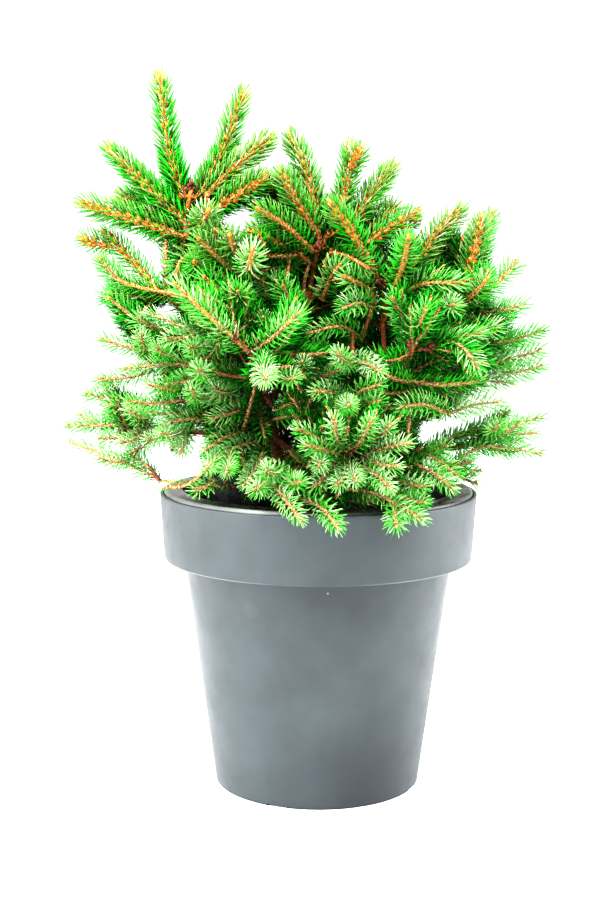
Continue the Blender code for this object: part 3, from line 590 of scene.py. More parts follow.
def tubes(paths, radii, sides, relief):
    """Closed round bars along paths of equal counts: centre + radius (cos turn side + sin turn rise).

    Paths are (bars, rows, 3), radii (bars, rows), and relief multiplies the radius at each point of the wall.
    """
    bars, rows = radii.shape
    heading = unit(np.gradient(paths, axis=1))
    chord = np.abs(paths[:, -1] - paths[:, 0])
    reference = np.eye(3)[chord.argmin(axis=1)][:, None]
    side = unit(np.cross(heading, reference))
    rise = np.cross(heading, side)
    turns = (np.arange(sides) * math.tau / sides)[:, None]
    out = np.cos(turns) * side[:, :, None] + np.sin(turns) * rise[:, :, None]
    walls = paths[:, :, None] + out * (radii[..., None] * relief)[..., None]
    points = np.concatenate([walls.reshape(bars, -1, 3), paths[:, :1], paths[:, -1:]], axis=1)
    start = (np.arange(bars) * (rows * sides + 2))[:, None, None]
    quads = (ring_faces(rows, sides)[::-1, ::-1] + start).reshape(-1, 4)
    near, after = np.arange(sides), (np.arange(sides) + 1) % sides
    foot = np.stack([near, after, np.full(sides, rows * sides)], axis=-1)
    last = (rows - 1) * sides
    tip = np.stack([last + after, last + near, np.full(sides, rows * sides + 1)], axis=-1)
    caps = (np.concatenate([foot, tip]) + start).reshape(-1, 3)
    return points.reshape(-1, 3), [quads, caps]


# Scaly bark: reddish brown and matt, paler and more orange on the raised scales, and younger and more orange
# up the crown. The scales are 3.2 mm long, and the flecks on them 1.6 mm.
bark, tree, place = new_material("spruce_bark_scaly")
inputs = {"Vector": place, "Scale": 1 / BARK_FLECK, "Detail": 6.0, "Roughness": 0.7}
flecks = add_node(tree, "TexNoise", inputs)
old_browns = add_node(tree, "ValToRGB", {"Fac": flecks}, OLD_BROWNS)
young_browns = add_node(tree, "ValToRGB", {"Fac": flecks}, YOUNG_BROWNS)
height = add_node(tree, "SeparateXYZ", {"Vector": place}).outputs["Z"]
youth = add_node(tree, "MapRange", {"Value": height, "From Min": 240 * MM, "From Max": 325 * MM})
browns = add_node(tree, "Mix", {"Factor": youth, "A": old_browns, "B": young_browns}, data_type="RGBA")
flaky = add_node(tree, "Bump", {"Height": flecks, "Distance": 0.25 * MM})
inputs = {"Base Color": browns, "Roughness": 0.86, "IOR": 1.45, "Normal": flaky}
add_node(tree, "OutputMaterial", {"Surface": add_node(tree, "BsdfPrincipled", inputs)})

trunk_path = smooth_path(np.array(TRUNK_KNOTS) * MM, TRUNK_POINTS)
trunk_share = lengths_along(trunk_path) / length_of(trunk_path)
trunk_radii = TRUNK_FOOT_RADIUS + (TRUNK_TIP_RADIUS - TRUNK_FOOT_RADIUS) * trunk_share**0.8
trunk_radii = trunk_radii + TRUNK_FLARE * np.exp((trunk_path[0, 2] - trunk_path[:, 2]) / TRUNK_FLARE_HEIGHT)
limbs = {"trunk": (trunk_path, trunk_radii)}
for name, (carrier, share, passed, end, foot_radius, tip_radius) in BOUGHS.items():
    leaves = at_share(limbs[carrier][0], share)
    path = smooth_path(np.array((leaves, np.array(passed) * MM, np.array(end) * MM)), BOUGH_POINTS)
    limbs[name] = (path, np.linspace(foot_radius, tip_radius, BOUGH_POINTS) * MM)

for name, (path, radii) in limbs.items():
    sides = TRUNK_SIDES if name == "trunk" else BOUGH_SIDES
    length = length_of(path)
    rows = math.ceil(length / LIMB_ROW)
    shares = np.linspace(0, 1, rows)
    fine_path = smooth_path(path, rows)
    fine_radii = np.interp(shares, np.linspace(0, 1, len(path)), radii)
    # The scales' pattern lies on the wall, drawn out along the limb.
    turns = np.arange(sides) * math.tau / sides
    wide = fine_radii.mean() / SCALE_WIDTH
    wall = np.stack(np.broadcast_arrays(
        wide * np.cos(turns), wide * np.sin(turns), (shares * length / SCALE_LENGTH)[:, None]
    ), axis=-1)
    scales = lattice_noise(wall, 1.0, 7)
    furrows = np.abs(lattice_noise(wall * 1.7, 1.0, 8) - 0.5)
    knobs = lattice_noise(wall * (0.4, 0.4, 0.35), 1.0, 9)
    relief = 1 + RELIEF * (1.1 * scales + 1.6 * np.minimum(furrows, 0.18) + 1.2 * knobs - 1.4)
    limb = put_mesh(name + "_bark", *tubes(fine_path[None], fine_radii[None], sides, relief[None]), bark)
    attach(limb, "root")
    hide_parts(name)


# The shoots' lines: each mass of foliage is a stem that leaves its limb and ends in a hub, where shoots
# crowd. The front's shoots are set one by one, and each grows on from the nearest wood. The rest follow one
# rule: side shoots turn by the golden angle, where they have room.
# Each mass: limb it leaves, share of that limb's length, and in mm the tips of its leading shoots.
MASSES = {
    "crown_top": ("trunk", 1.00, ((-96, 5, 423),)),
    "crown_right": ("trunk", 0.97, ((-45, 0, 413), (-29, -10, 387))),
    "crown_left": ("trunk", 0.93, ((-125, 0, 379), (-136, -14, 348))),
    "crown_front": ("trunk", 0.865, ((-61, -50, 345),)),
    "crown_back": ("trunk", 0.895, ((-96, 52, 378), (-46, 52, 366))),
    "centre_top": ("bough_centre", 1.00, ((-17, 0, 386),)),
    "centre_right": ("bough_centre", 0.94, ((22, 2, 383), (43, 10, 370))),
    "centre_front": ("bough_centre", 0.86, ((-34, -56, 339),)),
    "centre_back": ("bough_centre", 0.76, ((-2, 62, 346),)),
    "leader_front": ("bough_right_leader", 1.00, ((6, -32, 345),)),
    "leader_face": ("bough_right_leader", 0.92, ((50, -62, 322), (78, -44, 303))),
    "leader_top": ("bough_right_leader", 0.86, ((84, 0, 346), (54, -20, 340))),
    "inner_right": ("bough_centre", 0.52, ((27, 12, 296),)),
    "inner_left": ("trunk", 0.50, ((-43, -20, 302),)),
    "right_crown_top": ("bough_right_crown", 1.00, ((94, -8, 338), (103, 20, 340))),
    "right_crown_side": ("bough_right_crown", 0.92, ((115, -2, 311), (117, -22, 289))),
    "right_crown_back": ("bough_right_crown", 0.82, ((98, 54, 300),)),
    "right_outer": ("bough_right_crown", 0.62, ((133, 8, 274), (131, 2, 254))),
    "right_tip": ("bough_right_low", 1.00, ((127, 2, 223), (128, -22, 202))),
    "right_front": ("bough_right_low", 0.80, ((76, -62, 193), (50, -96, 181))),
    "right_mid": ("bough_right_leader", 0.30, ((119, 30, 234),)),
    "front_right_side": ("bough_front_right", 1.00, ((84, -62, 273),)),
    "front_right_face": ("bough_front_right", 0.88, ((57, -88, 287),)),
    "front_right_low": ("bough_front_right", 0.70, ((66, -76, 234),)),
    "front_big_left": ("bough_front", 1.00, ((-73, -84, 300),)),
    "front_big_right": ("bough_front", 0.93, ((-12, -94, 287),)),
    "front_nose": ("bough_front", 0.85, ((-28, -113, 256),)),
    "front_middle": ("bough_front_low", 0.62, ((13, -90, 258),)),
    "front_fan": ("bough_front_low", 1.00, ((-3, -102, 222), (43, -98, 226))),
    "over_rim": ("bough_front_low", 0.75, ((-10, -104, 186), (10, -112, 178))),
    "left_front": ("trunk", 0.285, ((-88, -60, 220), (-54, -88, 190))),
    "left_low": ("bough_left_low", 1.00, ((-146, -20, 209), (-147, -8, 221))),
    "left_rim": ("bough_left_low", 0.70, ((-97, -34, 184),)),
    "left_outer": ("bough_left_mid", 1.00, ((-133, -16, 240), (-126, -18, 269))),
    "left_mid": ("bough_left_mid", 0.85, ((-124, 34, 250),)),
    "left_top": ("trunk", 0.58, ((-130, -9, 315), (-142, 12, 327))),
    "left_upper": ("trunk", 0.65, ((-112, 46, 318),)),
    "back_left_top": ("bough_back_left", 1.00, ((-72, 94, 322),)),
    "back_left_side": ("bough_back_left", 0.80, ((-112, 84, 270),)),
    "back_left_low": ("bough_back_left", 0.45, ((-84, 92, 216),)),
    "back_top": ("bough_back", 1.00, ((8, 102, 314),)),
    "back_low": ("bough_back", 0.70, ((-28, 116, 232),)),
    "back_right_top": ("bough_back", 0.85, ((56, 98, 276),)),
    "back_right_low": ("bough_back_right", 1.00, ((102, 82, 226), (52, 108, 206))),
}
# Shoots that show in front, by group: the needles' length in mm, how light their green is on the scale of the
# first five greens, and for each shoot in mm where it leaves the wood, its bend if it has one, and its tip.
# The lightness paints shade on the groups behind and deep in the crown, and light on those in front.
SPRAYS = {
    "top left leader": (13, 1.8, (
        ((-81, 5, 352), (-89, 5, 380), (-94, 5, 419)), ((-71, 3, 352), (-58, 2, 376), (-46, 0, 410)),
        ((-67, 0, 353), (-49, -5, 369), (-31, -10, 384)), ((-62, -4, 344), (-46, -13, 353), (-33, -22, 361)),
        ((-78, 5, 335), (-100, 3, 356), (-123, 0, 378)), ((-79, 4, 328), (-106, -1, 337), (-137, -8, 347)),
        ((-93, 4, 337), (-106, 10, 347), (-117, 14, 351)), ((-72, 0, 335), (-63, -42, 342)),
        ((-44, -22, 305), (-58, -34, 317), (-67, -42, 326)), ((-46, -20, 314), (-50, -48, 328)),
        ((-45, -34, 291), (-45, -66, 298)), ((-51, -30, 294), (-64, -46, 305)),
        ((-57, -18, 320), (-59, -40, 331)), ((-68, -6, 314), (-71, -36, 314)),
        ((-73, 4, 321), (-82, -3, 314), (-84, -6, 308)),
    )),
    "left curved": (10.5, 1.7, (
        ((-76, -4, 293), (-114, -7, 301), (-128, -9, 314)), ((-96, -2, 297), (-111, 2, 314), (-127, 6, 330)),
        ((-122, 4, 321), (-140, 0, 327)), ((-103, -8, 278), (-122, -14, 292)),
        ((-91, -10, 274), (-105, -26, 281)),
    )),
    "centre top": (12, 1.9, (
        ((-4, -14, 320), (-19, -28, 334), (-33, -40, 343)),
        ((-8, -16, 315), (-24, -26, 325), (-38, -34, 331)), ((-41, -36, 309), (-37, -64, 321)),
        ((-1, -12, 331), (-12, -18, 346), (-22, -26, 364)), ((-1, -9, 334), (-7, -4, 364), (-17, 0, 386)),
        ((8, -8, 335), (15, -2, 356), (18, 4, 381)), ((17, 0, 367), (22, -10, 377)),
        ((12, -6, 329), (28, 4, 350), (42, 12, 369)), ((-13, -34, 286), (-20, -46, 300)),
        ((6, -14, 320), (17, -26, 317), (26, -36, 312)), ((31, 4, 335), (44, 16, 346)),
        ((2, -12, 292), (6, -24, 304), (11, -34, 312)), ((-11, -10, 314), (-17, -19, 310), (-23, -26, 310)),
        ((-28, -10, 292), (-32, -34, 304)), ((-36, -8, 296), (-30, -22, 309)),
        ((-23, -14, 294), (-24, -40, 303)),
    )),
    "right leader": (11.5, 2.0, (
        ((38, -14, 298), (21, -26, 327), (7, -34, 346)), ((26, -8, 324), (40, -7, 333), (55, -6, 342)),
        ((50, -10, 301), (65, -2, 326), (83, 6, 345)), ((43, -20, 298), (48, -39, 315), (49, -54, 327)),
        ((44, -24, 294), (60, -30, 302), (80, -36, 303)), ((55, -34, 269), (48, -44, 282), (41, -54, 294)),
        ((52, -40, 267), (55, -55, 277), (58, -74, 290)), ((30, -22, 298), (23, -31, 302), (15, -42, 306)),
        ((32, -24, 287), (23, -37, 291), (14, -50, 289)),
    )),
    "right crown": (11, 2.0, (
        ((87, -2, 299), (91, -5, 321), (94, -8, 338)), ((93, 22, 314), (104, 34, 342)),
        ((77, 24, 306), (84, 38, 327)), ((91, -6, 292), (105, -5, 303), (115, -4, 314)),
        ((83, -14, 291), (95, -36, 305)), ((87, -4, 285), (119, -14, 290)),
        ((77, -18, 279), (102, -30, 277)), ((85, 2, 265), (133, 4, 274)), ((91, 8, 261), (120, 16, 268)),
        ((70, -20, 290), (75, -52, 291)), ((66, 0, 314), (72, 14, 323)),
    )),
    "right middle": (10.5, 2.2, (
        ((38, -30, 242), (52, -39, 267), (90, -52, 275)), ((62, -42, 267), (78, -53, 269), (88, -64, 257)),
        ((41, -30, 244), (62, -41, 257), (75, -48, 262)), ((40, -10, 231), (72, -2, 246), (115, 8, 242)),
        ((81, 0, 254), (113, 4, 256)), ((102, 6, 256), (133, 12, 262)), ((102, 8, 248), (134, 14, 252)),
        ((50, -24, 234), (61, -33, 241), (73, -40, 243)), ((71, -16, 239), (96, -12, 243)),
        ((73, -40, 228), (60, -56, 235), (45, -72, 235)), ((74, -38, 228), (87, -31, 232), (106, -22, 234)),
        ((71, -20, 250), (85, -46, 259)),
    )),
    "right low": (9, 2.0, (
        ((63, -16, 204), (88, -12, 213), (132, -6, 223)), ((80, -20, 199), (97, -21, 207), (129, -24, 204)),
        ((100, -10, 212), (103, -42, 222)), ((52, -32, 208), (67, -48, 203), (78, -62, 196)),
        ((46, -42, 203), (63, -62, 198), (74, -78, 191)), ((38, -52, 195), (58, -84, 193)),
        ((39, -58, 188), (58, -90, 185)), ((80, 0, 189), (94, -4, 183)), ((89, -12, 214), (113, -2, 226)),
        ((102, -8, 214), (127, -16, 215)), ((99, -14, 210), (117, -30, 222)),
        ((94, -16, 208), (114, -20, 204)), ((65, -22, 206), (79, -16, 212), (92, -10, 216)),
        ((59, -26, 204), (73, -44, 210)), ((72, -16, 197), (88, -30, 199)),
    )),
    "front fan": (8.5, 2.35, (
        ((17, -72, 206), (4, -87, 213), (-7, -98, 217)), ((14, -72, 210), (0, -84, 219), (-11, -92, 225)),
        ((15, -74, 210), (10, -88, 220), (8, -106, 233)), ((21, -74, 210), (25, -89, 222), (28, -104, 232)),
        ((23, -72, 207), (34, -81, 213), (49, -94, 218)), ((32, -66, 214), (38, -96, 229)),
        ((17, -72, 204), (10, -100, 196)), ((24, -72, 203), (33, -92, 199), (38, -104, 195)),
        ((11, -70, 206), (-2, -94, 194)), ((25, -74, 206), (43, -98, 206)),
        ((19, -74, 205), (20, -104, 199)), ((4, -70, 211), (0, -98, 206)),
    )),
    "front middle": (9, 2.1, (
        ((15, -58, 238), (7, -70, 243), (-2, -84, 245)), ((15, -56, 240), (16, -98, 239)),
        ((19, -58, 238), (24, -70, 244), (33, -84, 249)), ((20, -58, 237), (33, -84, 240)),
        ((19, -50, 257), (10, -84, 266)), ((19, -50, 259), (26, -67, 259), (33, -86, 256)),
        ((-5, -44, 250), (-9, -84, 261)), ((-26, -52, 255), (-13, -96, 253)),
        ((-11, -46, 249), (11, -68, 255)), ((-25, -36, 230), (-14, -48, 235), (1, -62, 239)),
        ((-26, -34, 224), (-8, -50, 230), (9, -66, 234)), ((25, -30, 270), (12, -43, 278), (-6, -58, 275)),
        ((-27, -34, 276), (-31, -66, 284)), ((6, -20, 262), (-5, -44, 267)),
        ((32, -44, 225), (29, -70, 238)),
    )),
    "front pair": (10.5, 2.35, (
        ((-38, -68, 266), (-60, -78, 285), (-77, -86, 302)),
        ((-38, -66, 265), (-24, -81, 275), (-11, -96, 288)), ((-31, -70, 261), (-28, -114, 254)),
    )),
    "front left": (9.5, 2.25, (
        ((-56, -24, 257), (-70, -24, 272), (-98, -24, 284)), ((-63, -30, 269), (-72, -62, 267)),
        ((-71, -26, 273), (-86, -48, 271)), ((-43, -34, 249), (-56, -42, 256), (-71, -50, 263)),
        ((-40, -30, 245), (-48, -38, 249), (-64, -52, 251)), ((-59, -40, 251), (-67, -74, 256)),
        ((-33, -20, 227), (-48, -31, 234), (-67, -44, 238)),
        ((-30, -25, 224), (-43, -35, 229), (-60, -48, 226)),
        ((-55, -24, 221), (-74, -34, 224), (-89, -42, 221)), ((-59, -50, 264), (-53, -78, 279)),
        ((-48, -30, 239), (-59, -56, 244)),
    )),
    "left": (8.5, 2.15, (
        ((-66, -26, 253), (-86, -30, 255), (-111, -34, 253)), ((-68, -34, 249), (-86, -46, 245)),
        ((-78, -36, 242), (-96, -58, 246)), ((-80, -36, 235), (-107, -54, 236)),
        ((-100, -4, 249), (-130, -12, 245)), ((-96, -8, 261), (-127, -16, 269)),
        ((-110, 0, 233), (-139, 0, 235)), ((-103, -12, 230), (-124, -12, 230)),
        ((-106, -8, 218), (-130, -9, 217), (-148, -10, 217)), ((-123, -4, 215), (-143, 4, 222)),
        ((-100, -10, 265), (-102, -38, 273)), ((-86, -18, 259), (-92, -46, 266)),
        ((-100, -10, 221), (-109, -40, 230)), ((-76, -20, 216), (-79, -48, 206)),
        ((-78, -22, 218), (-89, -56, 218)), ((-69, -30, 235), (-71, -62, 244)),
        ((-70, -20, 227), (-97, -34, 228)), ((-100, -14, 209), (-107, -30, 205)),
        ((-70, -14, 243), (-78, -40, 249)),
    )),
    "left low": (8, 2.15, (
        ((-111, -12, 215), (-128, -24, 211)), ((-100, -14, 214), (-114, -34, 210)),
        ((-88, -16, 215), (-98, -44, 213)), ((-94, -28, 188), (-118, -24, 199), (-146, -20, 208)),
        ((-111, -26, 198), (-125, -44, 202)), ((-42, -28, 217), (-54, -44, 214), (-64, -62, 209)),
        ((-35, -28, 210), (-46, -43, 209), (-60, -66, 203)), ((-57, -50, 207), (-62, -86, 202)),
        ((-50, -48, 207), (-50, -88, 201)), ((-32, -44, 205), (-41, -82, 193)),
        ((-98, -30, 195), (-111, -26, 203)), ((-59, -50, 190), (-69, -66, 187)),
    )),
    "behind": (9, 0.2, (
        ((-21, 20, 205), (-36, 45, 187)), ((-21, 20, 212), (-12, 46, 185)), ((-30, 18, 218), (-42, 44, 196)),
        ((-15, 22, 211), (0, 46, 192)), ((-24, 22, 199), (-27, 42, 177)), ((-11, 20, 206), (10, 42, 184)),
        ((-35, 18, 221), (-46, 44, 204)), ((19, 15, 249), (11, 42, 233)), ((22, 15, 243), (21, 42, 227)),
        ((-21, 12, 303), (-33, 44, 289)), ((-30, 10, 310), (-22, 44, 290)), ((6, 14, 273), (19, 44, 258)),
        ((-5, 20, 212), (-18, 48, 194)), ((-33, 20, 205), (-49, 44, 188)), ((32, 20, 257), (47, 46, 269)),
        ((33, 22, 261), (42, 48, 275)),
    )),
    "before the trunk": (8.5, 1.2, (
        ((-35, -24, 231), (-31, -40, 215)), ((-17, -30, 205), (-7, -48, 199)),
        ((-30, -20, 210), (-36, -44, 199)),
    )),
    "right rim": (6.5, 1.0, (
        ((75, 20, 187), (96, 34, 183)), ((77, 10, 193), (98, 14, 188)), ((69, 30, 186), (90, 40, 183)),
    )),
    "over rim": (9.5, 2.1, (
        ((-37, -56, 200), (-23, -81, 191), (-9, -114, 179)),
        ((-10, -74, 184), (2, -94, 182), (11, -116, 175)), ((-27, -64, 196), (-34, -98, 193)),
        ((5, -58, 188), (31, -79, 188), (56, -104, 178)), ((43, -90, 182), (42, -108, 175)),
        ((7, -54, 183), (30, -76, 183)), ((-19, -70, 195), (-10, -104, 198)),
        ((-21, -60, 198), (-28, -96, 203)),
    )),
}
# Old wood without needles.
BARE_SHOOTS = (
    ((-52, -40, 185), (-73, -40, 188), (-90, -36, 184)),
    ((-33, -14, 192), (-46, -22, 184), (-66, -30, 184), (-93, -28, 187)),
    ((-90, -2, 301), (-91, -1, 314), (-91, 0, 327)),
    ((-1, -8, 288), (1, -11, 301), (3, -14, 314)),
    ((-11, -10, 290), (-9, -14, 301), (-6, -18, 314)),
    ((-33, -20, 281), (-44, -26, 294), (-56, -32, 307)),
)
# Openings seen from the front, in mm: across, height and radius. Sky shows through the first, the trunk and
# boughs through the others.
SKY = (
    (-106, 316, 10), (-99, 309, 6), (-113, 326, 5), (-73, 379, 8), (-25, 374, 5), (6, 379, 8),
    (33, 371, 7), (-50, 337, 4), (62, 350, 7), (-130, 278, 7), (-137, 310, 8), (-91, 284, 4),
    (-120, 257, 7), (-101, 257, 5), (-140, 255, 7), (-107, 241, 4), (-140, 227, 5), (-125, 209, 6),
    (-154, 212, 5), (-92, 197, 10), (-77, 206, 5), (-103, 192, 6), (-82, 189, 7), (79, 218, 8),
    (67, 213, 4), (89, 220, 5), (97, 233, 4), (109, 238, 7), (121, 232, 6), (88, 204, 5), (73, 193, 4),
    (109, 195, 8), (125, 191, 8), (126, 266, 4), (123, 258, 3), (112, 324, 7), (107, 298, 4),
    (-68, 396, 10), (-112, 390, 12), (-156, 189, 8), (-120, 177, 10), (135, 236, 7), (134, 257, 4),
    (88, 353, 6), (109, 333, 5), (-12, 405, 12),
)
TRUNK_WINDOW = (
    (-77, 350, 4), (-77, 343, 4), (-77, 335, 4), (-77, 327, 4), (-77, 318, 4), (-91, 322, 2), (-91, 314, 2),
    (-90, 305, 2), (-2, 334, 3), (-5, 327, 3), (-7, 320, 3), (-9, 312, 3), (38, 297, 3), (39, 289, 3),
    (40, 281, 3), (40, 273, 3), (41, 266, 3), (-29, 229, 4), (-27, 221, 4), (-26, 214, 5), (-24, 207, 6),
    (-23, 199, 6), (-21, 192, 5), (-34, 202, 6), (-17, 204, 5),
)
SKY_MARGIN = 6 * MM
PATH_POINTS = 9
SHOOT_DROOP = 0.05
# A mass's hub stands at least this share of the way from its limb to its tips, and its leading shoots are at
# most so long. Only the masses behind grow theirs by the rule.
STEM_SHARE = 0.27
LEAD_LONGEST = 52 * MM
HIGHEST_HUB = 360 * MM
BACK = 25 * MM
# A listed shoot that starts further than this from the wood stands on a side branch of its own.
LEG = 4 * MM
# Needles are longer up the crown, between these heights.
NEEDLE_HEIGHTS = (0.20, 0.29)
NEEDLE_LENGTHS = (7.5 * MM, 11 * MM)
CAMERA_DISTANCE = 0.943
CAMERA_HEIGHT = 0.3227


def drooping(start, end):
    """A path that leaves low and turns up: the straight line less 4t(1-t) of a small share of its width."""
    shares = np.linspace(0, 1, PATH_POINTS)[:, None]
    width = np.linalg.norm((end - start)[:2])
    return start + (end - start) * shares - UP * SHOOT_DROOP * width * 4 * shares * (1 - shares)


def nearest_wood(foot, way):
    """The place on the wood so far that a foot grows from: the nearest, rather behind it than before it."""
    offsets = np.vstack(wood_points) - foot
    cost = np.linalg.norm(offsets, axis=1) + 0.7 * np.maximum(offsets @ way, 0)
    return foot + offsets[cost.argmin()]


def add_shoot(path, kind, girth, bare, needle=None, lightness=-1):
    """Keeps a shoot: its path, kind, girth, how far up from its foot it's bare, and its needles' looks.

    A needle's length goes by the tip's height and its lightness by the rule, unless they are given.
    """
    if needle is None:
        needle = np.interp(path[-1, 2], NEEDLE_HEIGHTS, NEEDLE_LENGTHS)
    for name, value in zip(grown, (path, kind, girth, bare, needle, lightness)):
        grown[name].append(value)
    taken.append(path[2::2])
    wood_points.append(smooth_path(path, 18))


def as_seen(points):
    """Each point's line of sight from the front, by where it meets the plane through the pot's axis."""
    nearer = CAMERA_DISTANCE / (CAMERA_DISTANCE + points[..., 1])
    across, height = points[..., 0] * nearer, CAMERA_HEIGHT + (points[..., 2] - CAMERA_HEIGHT) * nearer
    return np.stack([across, height], axis=-1)


def in_opening(seen, openings, margin):
    """Whether each place seen from the front lies in each opening, or within a margin of it."""
    return np.linalg.norm(seen[..., None, :] - openings[:, :2], axis=-1) < openings[:, 2] + margin


stems, leads = [], []
for carrier, share, tips in MASSES.values():
    start = at_share(limbs[carrier][0], share)
    tips = np.array(tips) * MM
    upward = tips.mean(axis=0) - start
    hub = start + upward * max(STEM_SHARE, 1 - LEAD_LONGEST / np.linalg.norm(upward))
    if hub[2] < HIGHEST_HUB:
        stems.append(drooping(start, hub))
    if tips[:, 1].mean() > BACK:
        leads += [drooping(hub, tip) for tip in tips]

grown = {"path": [], "kind": [], "girth": [], "bare": [], "needle": [], "lightness": []}
limb_points = np.vstack([smooth_path(path, 40) for path, _ in limbs.values()])
wood_points = [limb_points, *(smooth_path(stem, 12) for stem in stems)]
taken = [limb_points[::3], *(stem[1::2] for stem in stems)]
sky, trunk_window = np.array(SKY) * MM, np.array(TRUNK_WINDOW) * MM
leads = [lead for lead in leads if not in_opening(as_seen(lead), sky, 2 * MM).any()]
for lead in leads:
    add_shoot(lead, "lead", 1.0, 3 * MM)
for points in BARE_SHOOTS:
    points = np.array(points) * MM
    points[0] = nearest_wood(points[0], unit(points[1] - points[0]))
    add_shoot(smooth_path(points, PATH_POINTS), "bare", 1.0, 1.0)

# The listed shoots grow in order of how near their feet are to a limb. Those that face the front get painted
# light: a paler green.
listed = [
    (np.array(points) * MM, needle * MM, lightness)
    for needle, lightness, rows in SPRAYS.values() for points in rows
]
listed.sort(key=lambda spray: np.linalg.norm(limb_points - spray[0][0], axis=1).min())
for points, needle, lightness in listed:
    way = unit(points[-1] - points[0])
    start = nearest_wood(points[0], way)
    if np.linalg.norm(start - points[0]) > LEG:
        add_shoot(drooping(start, points[0]), "inner", 1.2, 1 * MM)
    else:
        points[0] = start
    path = drooping(*points) if len(points) == 2 else smooth_path(points, PATH_POINTS)
    painted_front_light = np.clip(-way[1] - 0.6, 0, 0.4) / 0.4
    add_shoot(path, "lead", 1.0, 1 * MM, needle, lightness + 0.5 * painted_front_light)
drawn = np.vstack(wood_points)
drawn_seen = as_seen(drawn)

# The rule for the rest. A shoot tries 16 turns round its parent, and then shorter ones, for room among the
# others. Its tip may pass the outline of the front's shoots by 7 mm low in the crown and 2 mm at its top, and
# keeps behind them.
TURNS_TRIED = 16
SHORTER = (1.0, 0.8, 0.64)
NEEDLE_REACH = 12 * MM
OUTLINE = (7 * MM, 2 * MM)
OUTLINE_HEIGHTS = (0.30, 0.34)
BEHIND = 7 * MM
# It keeps this far from the pots and the peat, and turns up by this share of its length.
POT_CLEARANCE = 7 * MM
UPTURN = 0.12
allowed_low = np.array(cad_low) + NEEDLE_REACH * 0.5
allowed_high = np.array(cad_high) - NEEDLE_REACH * 0.5


def keeps_the_view(tips, probes):
    """Whether shoots leave the front's shoots, outline, sky and trunk as they show."""
    away = np.linalg.norm(as_seen(tips)[:, None] - drawn_seen, axis=-1)
    within = away.min(axis=1) < np.interp(tips[:, 2], OUTLINE_HEIGHTS, OUTLINE)
    nearest_front = np.where(away < 9 * MM, drawn[:, 1], 1.0).min(axis=1)
    seen = as_seen(probes)
    over_trunk = in_opening(seen, trunk_window, SKY_MARGIN) & (probes[..., 1] < 5 * MM)[..., None]
    hiding = in_opening(seen, sky, SKY_MARGIN).any(axis=(1, 2)) | over_trunk.any(axis=(1, 2))
    return within & (tips[:, 1] > nearest_front + BEHIND) & ~hiding


def clear_of_pot(points, margin):
    """Whether each point keeps a margin from the pots' rims and the peat."""
    across = np.linalg.norm(points[..., :2], axis=-1)
    off_rim = (across < FLANGE_INNER_RADIUS - margin) | (across > BAND_TOP_RADIUS + margin)
    over_soil = (points[..., 2] > SOIL_TOP + margin) | (across > BAND_TOP_RADIUS)
    return (off_rim | (points[..., 2] > FLANGE_TOP + margin)) & over_soil


def grow(parent, share, open_angle, length, kind, first_turn, girth, room_needed):
    """Grows one shoot from a place on its parent, turned to where it has most room, and returns its path.

    Each turn is scored by how far the shoot's outer half keeps from all that has grown. One that meets a pot
    or the peat, or that would change the crown's outline, is dropped.
    """
    index = share * (len(parent) - 1)
    low = min(int(index), len(parent) - 2)
    root = parent[low] + (parent[low + 1] - parent[low]) * (index - low)
    heading = unit(parent[low + 1] - parent[low])
    side = unit(np.cross(heading, np.eye(3)[np.abs(heading).argmin()]))
    rise = np.cross(heading, side)
    turns = (first_turn + np.arange(TURNS_TRIED) * math.tau / TURNS_TRIED)[:, None]
    out = np.cos(turns) * side + np.sin(turns) * rise
    opened = math.radians(open_angle)
    ways = unit(heading * math.cos(opened) + out * math.sin(opened) + UPTURN * UP)
    others = np.vstack(taken)
    for shorter in SHORTER:
        tips = root + ways * length * shorter
        probes = root + (tips - root)[:, None] * np.array((0.3, 0.6, 0.8, 1.0))[None, :, None]
        room = np.linalg.norm(probes[:, 1:, None] - others, axis=-1).min(axis=-1).mean(axis=-1)
        score = np.minimum(room, 1.4 * NEEDLE_REACH) + 0.0004 * rng.random(TURNS_TRIED)
        inside = ((tips > allowed_low) & (tips < allowed_high)).all(axis=1)
        clear = clear_of_pot(probes[:, 1:], POT_CLEARANCE).all(axis=1)
        allowed = clear & inside & keeps_the_view(tips, probes)
        score = np.where(allowed, score, -1)
        best = score.argmax()
        if score[best] > room_needed:
            path = drooping(root, tips[best])
            add_shoot(path, kind, girth, 1.5 * MM)
            return path
    return None


# Whorls of five at the hubs, in mm and degrees, with the girth of each shoot and the room that it needs.
WHORL_SHOOTS = 5
WHORL_PLACE = 0.97
WHORL_TURN = 2.4
WHORL_LENGTHS = (30, 44)
WHORL_OPEN = (40, 68)
WHORL_GIRTH = 0.85
WHORL_ROOM = 7.5 * MM
whorled = []
for stem in stems:
    for index in range(WHORL_SHOOTS):
        length = rng.uniform(*WHORL_LENGTHS) * MM
        opened = rng.uniform(*WHORL_OPEN)
        turn = WHORL_TURN * index
        whorled.append(grow(stem, WHORL_PLACE, opened, length, "side", turn, WHORL_GIRTH, WHORL_ROOM))

# Side shoots on the leading shoots at the back and on the whorls' own, shorter towards the tip.
GOLDEN_ANGLE = 137.5
SIDE_PLACES = (0.10, 0.24, 0.38, 0.52)
SIDE_SHARE = 0.62
SIDE_SHORTEN = 0.35
SIDE_OPEN = 56
SIDE_GIRTH = 0.8
SIDE_ROOM = 6.8 * MM
for path in leads + [path for path in whorled if path is not None]:
    for index, share in enumerate(SIDE_PLACES):
        length = length_of(path) * SIDE_SHARE * (1 - SIDE_SHORTEN * share) * rng.uniform(0.95, 1.25)
        turn = math.radians(GOLDEN_ANGLE) * index
        grow(path, share, SIDE_OPEN, length, "side", turn, SIDE_GIRTH, SIDE_ROOM)

